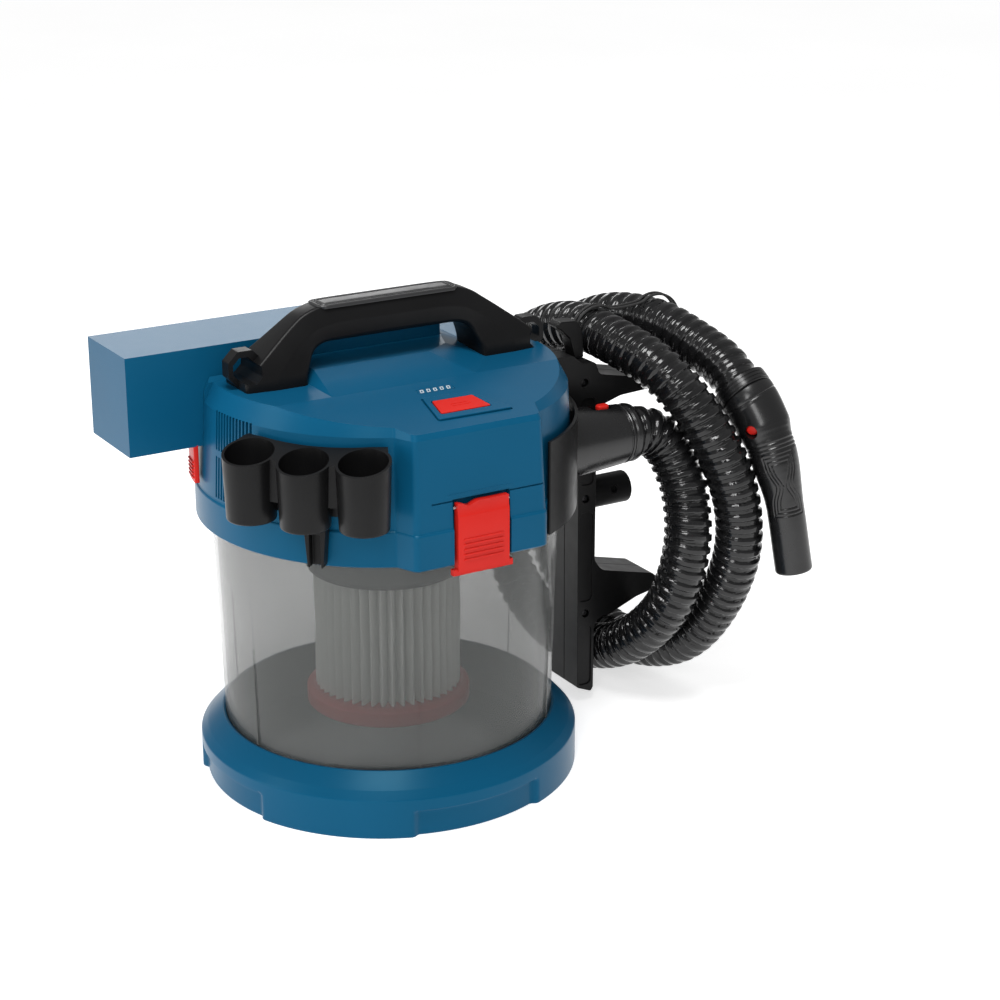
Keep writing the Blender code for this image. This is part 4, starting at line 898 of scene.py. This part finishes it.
def spline_rows(rows, per_span):
    """Catmull-Rom through rows of any numbers."""
    pts = np.array(rows)
    ext = np.vstack([2 * pts[0] - pts[1], pts, 2 * pts[-1] - pts[-2]])
    out = []
    for i in range(len(pts) - 1):
        p0, p1, p2, p3 = ext[i:i + 4]
        for k in range(per_span):
            t = k / per_span
            out.append(0.5 * (2 * p1 + (p2 - p0) * t + (2 * p0 - 5 * p1 + 4 * p2 - p3) * t * t
                              + (3 * p1 - p0 - 3 * p2 + p3) * t ** 3))
    out.append(pts[-1])
    return np.array(out)


def handle_section(width, deep, chamfer):
    """Section across the arch: flat sides, a sloped shoulder each side and a flat back."""
    half = width / 2
    shape = [(-half, 0.0), (half, 0.0), (half, 0.52), (half - chamfer, 1.0), (-half + chamfer, 1.0), (-half, 0.52)]
    scaled = [(a, b * deep) for a, b in shape]
    return rounded(scaled, [0.0042, 0.0042, 0.0030, 0.0028, 0.0028, 0.0030], 6)


def make_handle():
    rows = []
    for ox, oz, ix, iz, width in spline_rows(handle_stations(), 7):
        outer, inner = np.array([ox, oz]), np.array([ix, iz])
        out = outer - inner
        deep = np.linalg.norm(out)
        out /= deep
        lean = 1.0 - smooth(abs(ox), 0.070, 0.115)
        section = handle_section(width, deep, 0.0030 + 0.0028 * lean)
        rows.append([(inner[0] + out[0] * b, HANDLE_Y + a, inner[1] + out[1] * b) for a, b in section])
    rows = np.array(rows)
    arch = grid_mesh("arch", rows, cap_low=rows[0].mean(axis=0), cap_high=rows[-1].mean(axis=0))
    steps = []
    for centre in EYES:
        side = math.copysign(1.0, centre[0])
        ring = [(centre[0] + 0.0148 * math.cos(a), centre[1] + 0.0148 * math.sin(a))
                for a in [math.radians(22.5 + 45 * k) for k in range(8)]]
        hole = [(centre[0] + side * 0.0012 + 0.0094 * math.cos(a), centre[1] + 0.0094 * math.sin(a))
                for a in [math.radians(22.5 + 45 * k) for k in range(8)]]
        steps.append(("UNION", prism_bm(rounded(ring, 0.0018, 3), HANDLE_Y - 0.0055, HANDLE_Y + 0.0055, XZ_FRAME)))
        steps.append(("DIFFERENCE", prism_bm(rounded(hole, 0.0015, 3), HANDLE_Y - 0.03, HANDLE_Y + 0.03, XZ_FRAME)))
    mesh = combined(arch, *steps)
    piece("carry_handle_arch", mesh, MAT["black"], "head", ["carry_handle"], sharp=36.0, bevel=0.0004)


def make_grip_pad():
    """Soft pad that follows the top of the bar, with three nested grooves round its edge."""
    half_x, half_y = 0.0600, 0.0122
    xs = np.linspace(-half_x, half_x, 341)
    ys = np.linspace(-half_y, half_y, 71)
    x, y = np.meshgrid(xs, ys, indexing="ij")
    corner = 0.0070
    qx = np.maximum(np.abs(x) - (half_x - corner), 0.0)
    qy = np.maximum(np.abs(y) - (half_y - corner), 0.0)
    inside = corner - np.hypot(qx, qy)
    edge = np.minimum(inside, np.minimum(half_x - np.abs(x), half_y - np.abs(y)))
    top = HANDLE_TOP + 0.0006 - 0.00055 * (np.abs(x) / half_x) ** 6 - 0.0011 * (np.abs(y) / half_y) ** 2.5
    for depth_in in (0.0026, 0.0046, 0.0066):
        top = top + groove(edge - depth_in, 0.00090, 0.00045)
    top = top - 0.0016 * (1.0 - smooth(edge, -0.0012, 0.0009))
    shift = np.clip(-edge, 0.0, None)
    y = y - np.sign(y) * shift * (qy > 0)
    x = x - np.sign(x) * shift * (qx > 0)
    rows = np.stack([x, y + HANDLE_Y, top], axis=-1)
    count_x, count_y = x.shape
    loop = ([(i, 0) for i in range(count_x)] + [(count_x - 1, j) for j in range(1, count_y)]
            + [(i, count_y - 1) for i in range(count_x - 2, -1, -1)] + [(0, j) for j in range(count_y - 2, 0, -1)])
    verts = [tuple(p) for p in rows.reshape(-1, 3)]
    faces = [(i * count_y + j, (i + 1) * count_y + j, (i + 1) * count_y + j + 1, i * count_y + j + 1)
             for i in range(count_x - 1) for j in range(count_y - 1)]
    start = len(verts)
    for i, j in loop:
        px, py, _ = rows[i, j]
        verts.append((px, py, HANDLE_TOP - 0.0030))
    for k in range(len(loop)):
        n = (k + 1) % len(loop)
        a, b = loop[k][0] * count_y + loop[k][1], loop[n][0] * count_y + loop[n][1]
        faces.append((a, b, start + n, start + k))
    verts.append((0.0, HANDLE_Y, HANDLE_TOP - 0.0030))
    for k in range(len(loop)):
        faces.append((start + k, start + (k + 1) % len(loop), len(verts) - 1))
    mesh = bpy.data.meshes.new("pad")
    mesh.from_pydata(verts, [], faces)
    piece("grip_pad_grooved", mesh, MAT["grip"], "head", ["grip_pad"], sharp=60.0)


# ---------------------------------------------------------------- nozzle cups and brush clip
CUP_ANGLES = (207.0, 222.1, 236.9)
CUP_RING = 0.1668


def make_cups():
    """Three tapered cups on one curved back plate; the rims lean outwards."""
    plate = prism_bm(rounded(band_outline(HEAD_R - 0.0008, 0.1600, 200.5, 243.0, 43),
                             [0.001] + [0] * 41 + [0.001, 0.001] + [0] * 41 + [0.001], 3), 0.2600, 0.3085)
    mean = math.radians(sum(CUP_ANGLES) / 3)
    deck = prism_bm(rounded(band_outline(HEAD_R + 0.0010, CUP_RING + 0.0035, CUP_ANGLES[0] - 2.5, CUP_ANGLES[2] + 2.5, 41),
                            [0.001] + [0] * 39 + [0.001, 0.001] + [0] * 39 + [0.001], 3), 0.2700, 0.3090)
    steps, bores = [("UNION", deck)], []
    for degrees in CUP_ANGLES:
        x, y = CUP_RING * math.cos(math.radians(degrees)), CUP_RING * math.sin(math.radians(degrees))
        cup = turned_bm(rounded([(0, 0.2530), (0.0182, 0.2530), (0.0203, 0.3130), (0, 0.3130)], [0, 0.0022, 0, 0], 6,
                                False), 96, (x, y, 0))
        steps.append(("UNION", cup))
        bores.append(turned_bm([(0, 0.2550), (0.0165, 0.2550), (0.0184, 0.3200), (0, 0.3200)], 96, (x, y, 0)))
    tilt = (Matrix.Translation((CUP_RING * math.cos(mean), CUP_RING * math.sin(mean), 0.3020))
            @ Matrix.Rotation(mean, 4, "Z") @ Matrix.Rotation(math.radians(14.0), 4, "Y"))
    trim = box_bm((-0.060, -0.090, 0.0), (0.060, 0.090, 0.060), tilt)
    wall = turned_bm([(0, 0.36), (HEAD_R + 0.0001, 0.36), (HEAD_R + 0.0001, 0.20), (0, 0.20)], 240)
    mesh = combined(plate, *steps, ("DIFFERENCE", trim), ("DIFFERENCE", wall),
                    *[("DIFFERENCE", bore) for bore in bores])
    piece("nozzle_cups", mesh, MAT["black"], "head", ["nozzle_holder"], sharp=38.0, bevel=0.0005)

    middle = Matrix.Rotation(math.radians(CUP_ANGLES[1] + 1.0), 4, "Z")
    outline = rounded([(-0.0088, 0.2530), (-0.0060, 0.2186), (0.0060, 0.2186), (0.0088, 0.2530)], 0.0012, 4)
    body = prism_bm(outline, HEAD_R + 0.0016, HEAD_R + 0.0108, middle @ YZ_FRAME)
    slot = box_bm((HEAD_R + 0.0045, -0.0042, 0.2150), (HEAD_R + 0.0150, 0.0042, 0.2440), middle)
    mesh = combined(body, ("DIFFERENCE", slot))
    piece("brush_clip_moulding", mesh, MAT["black"], "head", ["brush_clip"], sharp=36.0, bevel=0.0006)


# ---------------------------------------------------------------- latches
def make_latch(side, tag):
    """Over-centre latch: waved top lip, five raised ribs and a lower bar that hooks the tub's lug."""
    face = FRONT_Y + 0.0014
    back = FRONT_Y - 0.0045
    wave = [(-0.0215 + 0.043 * k / 40, 0.2634 - 0.0030 * math.exp(-((k - 9) / 4.5) ** 2)
             + 0.0002 * math.sin(k / 6.0)) for k in range(41)]
    outline = [(0.0215, 0.2105), (-0.0215, 0.2105)] + wave
    body = prism_bm(rounded(outline, [0.001, 0.001, 0.002] + [0] * 39 + [0.003], 4), -face, -back, XZ_FRAME)
    steps = [("UNION", box_bm((-0.0250, -face + 0.0010, 0.2082), (0.0250, -back - 0.0004, 0.2128)))]
    scoop = turned_bm([(0, -0.03), (0.0250, -0.03), (0.0250, 0.03), (0, 0.03)], 160, (-0.0020, -face - 0.0240, 0.2600),
                      (1, 0, 0))
    steps.append(("DIFFERENCE", scoop))
    ribs = [prism_bm(rounded([(-0.0165, z), (0.0165, z), (0.0165, z + 0.0012), (-0.0165, z + 0.0012)], 0.0005, 3),
                     -face - 0.0008, -face + 0.0006, XZ_FRAME)
            for z in (0.2190, 0.2229, 0.2268, 0.2307, 0.2346)]
    steps.append(("UNION", gathered(ribs)))
    steps.append(("DIFFERENCE", rod_bm((-0.03, -0.1470, 0.2595), (0.03, -0.1470, 0.2595), 0.0013, 24)))
    mesh = combined(body, *steps)
    if side > 0:
        mesh.transform(Matrix.Rotation(math.pi, 4, "Z"))
    piece(f"latch_{tag}_moulding", mesh, MAT["red"], f"{tag}_latch", [f"latch_{tag}"], sharp=36.0,
          bevel=0.0006, segments=3)


def make_lid_latch():
    outline = band_outline(HEAD_R + 0.0006, HEAD_R + 0.0044, 163.7, 171.3, 17)
    radii = [0.0012] + [0] * 15 + [0.0012, 0.0006] + [0] * 15 + [0.0006]
    body = prism_bm(rounded(outline, radii, 4), 0.2502, 0.2798)
    ribs = [prism_bm(band_outline(HEAD_R + 0.0038, HEAD_R + 0.0056, 164.5, 170.5, 9), z, z + 0.0014)
            for z in (0.2535, 0.2565, 0.2595, 0.2625, 0.2655)]
    mesh = combined(body, ("UNION", gathered(ribs)))
    piece("lid_latch_moulding", mesh, MAT["red"], "lid_catch", ["lid_latch"], sharp=36.0, bevel=0.0004)


# ---------------------------------------------------------------- deck controls
def make_controls():
    place = button_frame()
    button = prism_bm(button_outline(0.0, 0.0013), -0.0048, 0.0015, place)
    mark = combined(prism_bm(rounded([(-0.0085, -0.0046), (0.0075, -0.0046), (0.0075, -0.0006), (-0.0085, -0.0006)],
                                     0.0019, 6), 0.0011, 0.003, place),
                    ("DIFFERENCE", prism_bm(rounded([(-0.0075, -0.0038), (0.0065, -0.0038), (0.0065, -0.0014),
                                                     (-0.0075, -0.0014)], 0.0011, 6), 0.0, 0.004, place)))
    mesh = combined(button, ("DIFFERENCE", mark))
    piece("power_button_cap", mesh, MAT["red"], "button", ["power_button"], sharp=36.0, bevel=0.0005)

    bezel = prism_bm(bezel_outline(0.0), -0.0010, 0.0014, place)
    mesh = combined(bezel, ("DIFFERENCE", prism_bm(button_outline(0.0007), -0.004, 0.006, place)))
    piece("button_surround", mesh, MAT["blue"], "head", ["button_bezel"], sharp=36.0, bevel=0.0006)

    plate = prism_bm(lights_outline(0.0), -0.0010, 0.0000, place)
    bars, wells = [], []
    for k in range(5):
        x = -0.0168 + 0.0056 * k
        shape = [(x, 0.0276), (x + 0.0030, 0.0276), (x + 0.0046, 0.0326), (x + 0.0016, 0.0326)]
        hole = [(x + 0.0011, 0.0285), (x + 0.0025, 0.0285), (x + 0.0035, 0.0317), (x + 0.0021, 0.0317)]
        bars.append(prism_bm(rounded(shape, 0.0006, 3), -0.0005, 0.0003, place))
        wells.append(prism_bm(rounded(hole, 0.0003, 2), -0.0010, 0.0010, place))
    piece("charge_light_window", plate, MAT["blue"], "head", ["charge_lights"], sharp=36.0)
    piece("charge_light_frames", combined(gathered(bars), ("DIFFERENCE", gathered(wells))), MAT["light"], "head",
          sharp=36.0)


# ---------------------------------------------------------------- hose inlet
PORT = Vector((0.0, -0.030, 0.2465))


def make_inlet():
    """Curved black panel on the head's side, the rigid connector in it and the hose's ringed cuff."""
    outline = band_outline(HEAD_R + 0.0004, HEAD_R + 0.0028, -63.0, -1.5, 61)
    plate = prism_bm(rounded(outline, [0.0015] + [0] * 59 + [0.0015, 0.0004] + [0] * 59 + [0.0004], 4), 0.2172, 0.2900)
    hole = rod_bm((0.120, PORT.y, PORT.z), (0.165, PORT.y, PORT.z), 0.0282, 96)
    piece("inlet_panel", combined(plate, ("DIFFERENCE", hole)), MAT["black"], "head", ["inlet_flange"],
          sharp=36.0, bevel=0.0005, crease=8.0)
    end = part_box("hose_connector")[1].x
    outline = [(0.0175, end), (0.0236, end), (0.0243, end - 0.0007), (0.0243, end - 0.0010), (0.0278, 0.1520),
               (0.0278, 0.1300), (0.0175, 0.1300)]
    body = turned_bm(rounded(outline, [0.0003, 0.0004, 0.0003, 0, 0.004, 0, 0], 4), 144, PORT, (1, 0, 0))
    wall = turned_bm([(0, 0.36), (0.1437, 0.36), (0.1437, 0.19), (0, 0.19)], 240)
    spigot = turned_bm([(0.0110, 0.1330), (0.0130, 0.1330), (0.0130, 0.1480), (0.0178, 0.1500), (0.0178, 0.1520),
                        (0.0110, 0.1500)], 96, PORT, (1, 0, 0))
    pocket = prism_bm(rounded([(0.1690, -0.0062), (0.1885, -0.0052), (0.1885, 0.0052), (0.1690, 0.0062)], 0.0025, 5),
                      PORT.z + 0.0203, PORT.z + 0.0400, Matrix.Translation((0, PORT.y, 0)))
    mesh = combined(body, ("DIFFERENCE", wall), ("UNION", spigot), ("DIFFERENCE", pocket))
    piece("hose_connector_body", mesh, MAT["satin"], "head", ["hose_connector"], sharp=36.0, bevel=0.0004)
    low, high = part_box("connector_release")
    middle = (low + high) / 2
    outline = rounded([(low.x, -0.0038), (high.x, -0.0038), (high.x, 0.0038), (low.x, 0.0038)], 0.0036, 8)
    button = prism_bm(outline, low.z, high.z, Matrix.Translation((0, middle.y, 0)))
    piece("connector_release_button", button, MAT["red"], "connector_button", ["connector_release"],
          sharp=36.0, bevel=0.0016, segments=4)
    low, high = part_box("connector_cuff")
    start, stop = low.x, high.x
    outline = [(0.0175, stop), (0.0222, stop), (0.0234, stop - 0.0010), (0.0240, stop - 0.0034), (0.0236, stop - 0.0062),
               (0.0226, stop - 0.0074), (0.0226, stop - 0.0082), (0.0238, stop - 0.0090), (0.0242, stop - 0.0102),
               (0.0236, stop - 0.0113), (0.0228, stop - 0.0117), (0.0228, start), (0.0175, start)]
    piece("connector_cuff_rings", turned_bm(rounded(outline, [0] + [0.0006] * 11 + [0], 4), 128, PORT, (1, 0, 0)),
          MAT["satin"], "head", ["connector_cuff"], sharp=40.0)


# ---------------------------------------------------------------- hose holder, strap and hook
HOLDER_X = (0.1790, 0.1970)
HOLDER_Y = (0.0005, 0.0415)
HOLDER_MID = 0.021
HOLDER_SCREWS = [(0.1850, 0.2830), (0.1875, 0.1830), (0.1885, 0.0810)]


def holder_outline():
    """Column with a hook at its foot and an arm at its top; the stub on the left clips on the head."""
    x0, x1 = HOLDER_X
    low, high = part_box("holder_front")
    points = [(x0 + 0.002, low.z + 0.006), (x1 - 0.002, low.z), (x1, low.z + 0.004), (x1, 0.0740), (0.2150, 0.0765),
              (0.2400, 0.0860), (0.2605, 0.0900), (0.2605, 0.1000), (0.2560, 0.1040), (0.2040, 0.1170), (x1, 0.1270),
              (x1, 0.2540), (0.2020, 0.2620), (0.2200, 0.2675), (0.2500, 0.2690), (0.2920, 0.2660), (0.2935, 0.2690),
              (0.2920, 0.2725), (0.2500, 0.2780), (0.2280, 0.2825), (x1 + 0.002, 0.2885), (x1 - 0.002, 0.2995),
              (x0 + 0.004, 0.2995), (x0 - 0.006, 0.3078), (0.1390, 0.3078), (0.1390, 0.2720), (x0 - 0.006, 0.2690),
              (x0, 0.2600)]
    radii = [0.002, 0.002, 0.002, 0.012, 0.02, 0.02, 0.003, 0.003, 0.006, 0.015, 0.010, 0.010, 0.010, 0.02, 0.03,
             0.0015, 0.0015, 0.0015, 0.03, 0.02, 0.006, 0.004, 0.004, 0.004, 0.001, 0.001, 0.003, 0.006]
    return rounded(points, radii, 5)


def make_holder():
    wall = [(0, 0.36), (HEAD_R + 0.0002, 0.36), (HEAD_R + 0.0002, 0.25), (0, 0.25)]
    for tag, y0, y1 in (("front", HOLDER_Y[0], HOLDER_MID - 0.0002), ("rear", HOLDER_MID + 0.0002, HOLDER_Y[1])):
        body = prism_bm(holder_outline(), y0, y1, XZ_FRAME)
        peg = rod_bm((0.1950, HOLDER_MID, 0.1800), (0.2378, HOLDER_MID, 0.1800), 0.0134, 64)
        limit = box_bm((0.1, y0, -0.05), (0.4, y1, 0.4))
        dimple = rod_bm((0.2205, HOLDER_MID - 0.0160, 0.1835), (0.2205, HOLDER_MID - 0.0095, 0.1835), 0.0032, 32)
        pegs = combined(peg, ("DIFFERENCE", dimple), ("INTERSECT", limit))
        face = y0 if tag == "front" else y1
        into = 0.0012 if tag == "front" else -0.0012
        ys = sorted((face - into, face + into))
        panel = [prism_bm(rounded([(0.1815, z0), (0.1945, z0), (0.1945, z1), (0.1815, z1)], 0.004, 5), *ys, XZ_FRAME)
                 for z0, z1 in ((0.0160, 0.0700), (0.0920, 0.1710), (0.1950, 0.2700))]
        steps = [("UNION", pegs), ("DIFFERENCE", turned_bm(wall, 240)), ("DIFFERENCE", gathered(panel))]
        if tag == "front":
            steps.append(("DIFFERENCE", gathered([rod_bm((x, face - 0.002, z), (x, face + 0.0045, z), 0.0035, 40)
                                                  for x, z in HOLDER_SCREWS])))
        piece(f"holder_{tag}_half", combined(body, *steps), MAT["black"], "head", [f"holder_{tag}"],
              sharp=34.0, bevel=0.0008)


def ribbon_rows(path, wide, thick, tilt=None):
    """Rows of a rounded flat band along a path in the XZ plane; tilt is not used."""
    path = np.array(path)
    ahead = np.gradient(path, axis=0)
    ahead /= np.linalg.norm(ahead, axis=1)[:, None]
    up = np.stack([-ahead[:, 2], np.zeros(len(path)), ahead[:, 0]], axis=1)
    up /= np.linalg.norm(up, axis=1)[:, None]
    across = np.array([0.0, 1.0, 0.0])
    section = rounded([(-wide / 2, 0.0), (wide / 2, 0.0), (wide / 2, thick), (-wide / 2, thick)], thick * 0.45, 4)
    return np.array([[p + across * a + u * b for a, b in section] for p, u in zip(path, up)])


def make_strap():
    """Rubber strap in two strands over the upper turns, from the hook to the end of the arm."""
    clear = HOSE_R + 0.0012
    route, _ = evenly(catmull(HOSE_POINTS), 0.004)
    tops = [(a + b) / 2 for a, b in zip(route, route[1:]) if (a[1] - 0.036) * (b[1] - 0.036) <= 0 and a[2] > 0.3]
    line = [(0.1955, 0.3006), (tops[0][0] - clear, 0.3150)]
    line += arc(tops[0][0], tops[0][2], clear, 175, 55, 9)
    line += arc(tops[1][0] + 0.0018, tops[1][2], clear + 0.0012, 128, -10, 11)
    line += [(0.2958, 0.2900), (0.2920, 0.2736)]
    smooth_line, _ = evenly(catmull([(x, 0.0, z) for x, z in line], 6), 0.0012)
    t = np.linspace(0.0, 1.0, len(smooth_line))
    spread = 0.0022 + 0.0026 * np.sin(math.pi * t) ** 0.7
    strands = []
    for sign in (-1, 1):
        path = smooth_line.copy()
        path[:, 1] = 0.036 + sign * spread * 0.62
        rows = ribbon_rows(path, 0.0026, 0.0020)
        strands.append(grid_mesh("strand", rows, cap_low=rows[0].mean(axis=0), cap_high=rows[-1].mean(axis=0)))
    for mesh, label in zip(strands, ("front", "rear")):
        piece(f"strap_strand_{label}", mesh, MAT["rubber"], "head", ["hose_strap"] if label == "front" else [],
              sharp=50.0)
    low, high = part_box("strap_hook")
    outline = rounded([(0.1838, 0.3006), (0.1922, 0.3006), (0.1915, 0.3200), (0.1870, 0.3318), (0.1705, 0.3328),
                       (0.1645, 0.3292), (0.1702, 0.3262), (0.1790, 0.3180)],
                      [0.001, 0.001, 0.006, 0.006, 0.004, 0.0016, 0.004, 0.006], 6)
    piece("strap_hook_toggle", prism_bm(outline, low.y, high.y, XZ_FRAME), MAT["black"], "head", ["strap_hook"],
          sharp=36.0, bevel=0.0012, segments=3)


# ---------------------------------------------------------------- screws and the parts inside
def make_screws():
    """Pan heads with a cross recess."""
    for node in sorted(n for n in frame["nodes"] if "_screw_" in n):
        low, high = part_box(node)
        centre = (low + high) / 2
        size = high - low
        across = node.startswith("holder")
        axis = Vector((0, -1, 0)) if across else Vector((0, 0, -1))
        radius = size.x / 2
        deep = size.y if across else size.z
        head = turned_bm(rounded([(0, -deep / 2), (radius, -deep / 2), (radius, deep * 0.2), (radius * 0.5, deep / 2),
                                  (0, deep / 2)], [0, 0.0002, 0.0006, 0.0008, 0], 4, False), 40)
        mesh = combined(head, ("DIFFERENCE", box_bm((-radius * 0.6, -0.0004, 0.0), (radius * 0.6, 0.0004, deep))),
                        ("DIFFERENCE", box_bm((-0.0004, -radius * 0.6, 0.0001), (0.0004, radius * 0.6, deep * 1.1))))
        mesh.transform(Matrix.Translation(centre) @ toward(axis))
        piece(f"{node}_head", mesh, MAT["oxide" if across else "steel"], "head", [node], sharp=36.0)


INSIDE = {
    "latch_pin_front": "steel", "latch_pin_rear": "steel", "power_switch": "dark", "motor_plate": "dark",
    "rim_seal": "rubber", "inlet_duct": "dark", "fan_housing": "dark", "fan_impeller": "dark", "motor_shaft": "steel",
    "motor_can": "steel", "motor_magnets": "dark", "motor_armature": "copper", "battery_bay": "dark",
    "battery_pack": "black", "battery_contacts": "copper", "control_board": "board", "filter_cage": "dark",
    "float_cup": "light",
}


def finish_inside():
    """Carried-over frame nodes: welded, softened at the edges and given their material."""
    for node, material in INSIDE.items():
        obj = frame["nodes"][node]
        obj.data.materials.clear()
        obj.data.materials.append(MAT[material])
        weld = obj.modifiers.new("weld", "WELD")
        weld.merge_threshold = 0.00002
        soft = obj.modifiers.new("edges", "BEVEL")
        soft.width = 0.0004
        soft.segments = 2
        soft.limit_method = "ANGLE"
        soft.angle_limit = math.radians(40)


make_handle()
make_grip_pad()
make_cups()
make_latch(-1, "front")
make_latch(1, "rear")
make_lid_latch()
make_controls()
make_inlet()
make_holder()
make_strap()
make_screws()
finish_inside()


# ---------------------------------------------------------------- floor and light
def make_floor():
    mesh = bpy.data.meshes.new("floor")
    bm = bmesh.new()
    bmesh.ops.create_grid(bm, x_segments=8, y_segments=8, size=16.0)
    bm.to_mesh(mesh)
    bm.free()
    floor = bpy.data.objects.new("floor", mesh)
    SCENE.collection.objects.link(floor)
    s = Shader("studio_floor", Emission_Strength=0.62, Specular_IOR_Level=0.2)
    s.color(s.ramp(s.noise(2.0, 3.0), [(0.3, (0.86, 0.86, 0.86)), (0.7, (0.90, 0.90, 0.90))]))
    s.roughness(s.spread(s.noise(40.0, 3.0), 0.3, 0.7, 0.55, 0.7))
    s.bsdf.inputs["Emission Color"].default_value = (1.0, 1.0, 1.0, 1.0)
    mesh.materials.append(s.mat)


def soft_box(name, place, target, size, power):
    data = bpy.data.lights.new(name, "AREA")
    data.shape = "RECTANGLE"
    data.size, data.size_y = size
    data.energy = power
    light = bpy.data.objects.new(name, data)
    SCENE.collection.objects.link(light)
    light.location = place
    light.rotation_euler = (Vector(target) - Vector(place)).to_track_quat("-Z", "Y").to_euler()


def make_light():
    world = bpy.data.worlds.new("studio")
    SCENE.world = world
    world.use_nodes = True
    world.node_tree.nodes["Background"].inputs["Color"].default_value = (1.0, 1.0, 1.0, 1.0)
    world.node_tree.nodes["Background"].inputs["Strength"].default_value = 0.40
    soft_box("overhead", (-0.3, -0.4, 1.6), (0.05, 0.0, 0.2), (0.6, 0.6), 17.0)
    soft_box("behind", (0.575, 1.617, 0.9), (0.05, 0.0, 0.33), (0.80, 0.55), 3.6)
    soft_box("left", (-1.5, 0.3, 0.7), (0.0, 0.0, 0.2), (0.5, 1.2), 8.0)
    soft_box("front_left", (-1.1, -1.5, 1.2), (0.0, 0.0, 0.2), (0.5, 0.7), 8.0)
    SCENE.view_settings.view_transform = "Standard"


make_floor()
make_light()
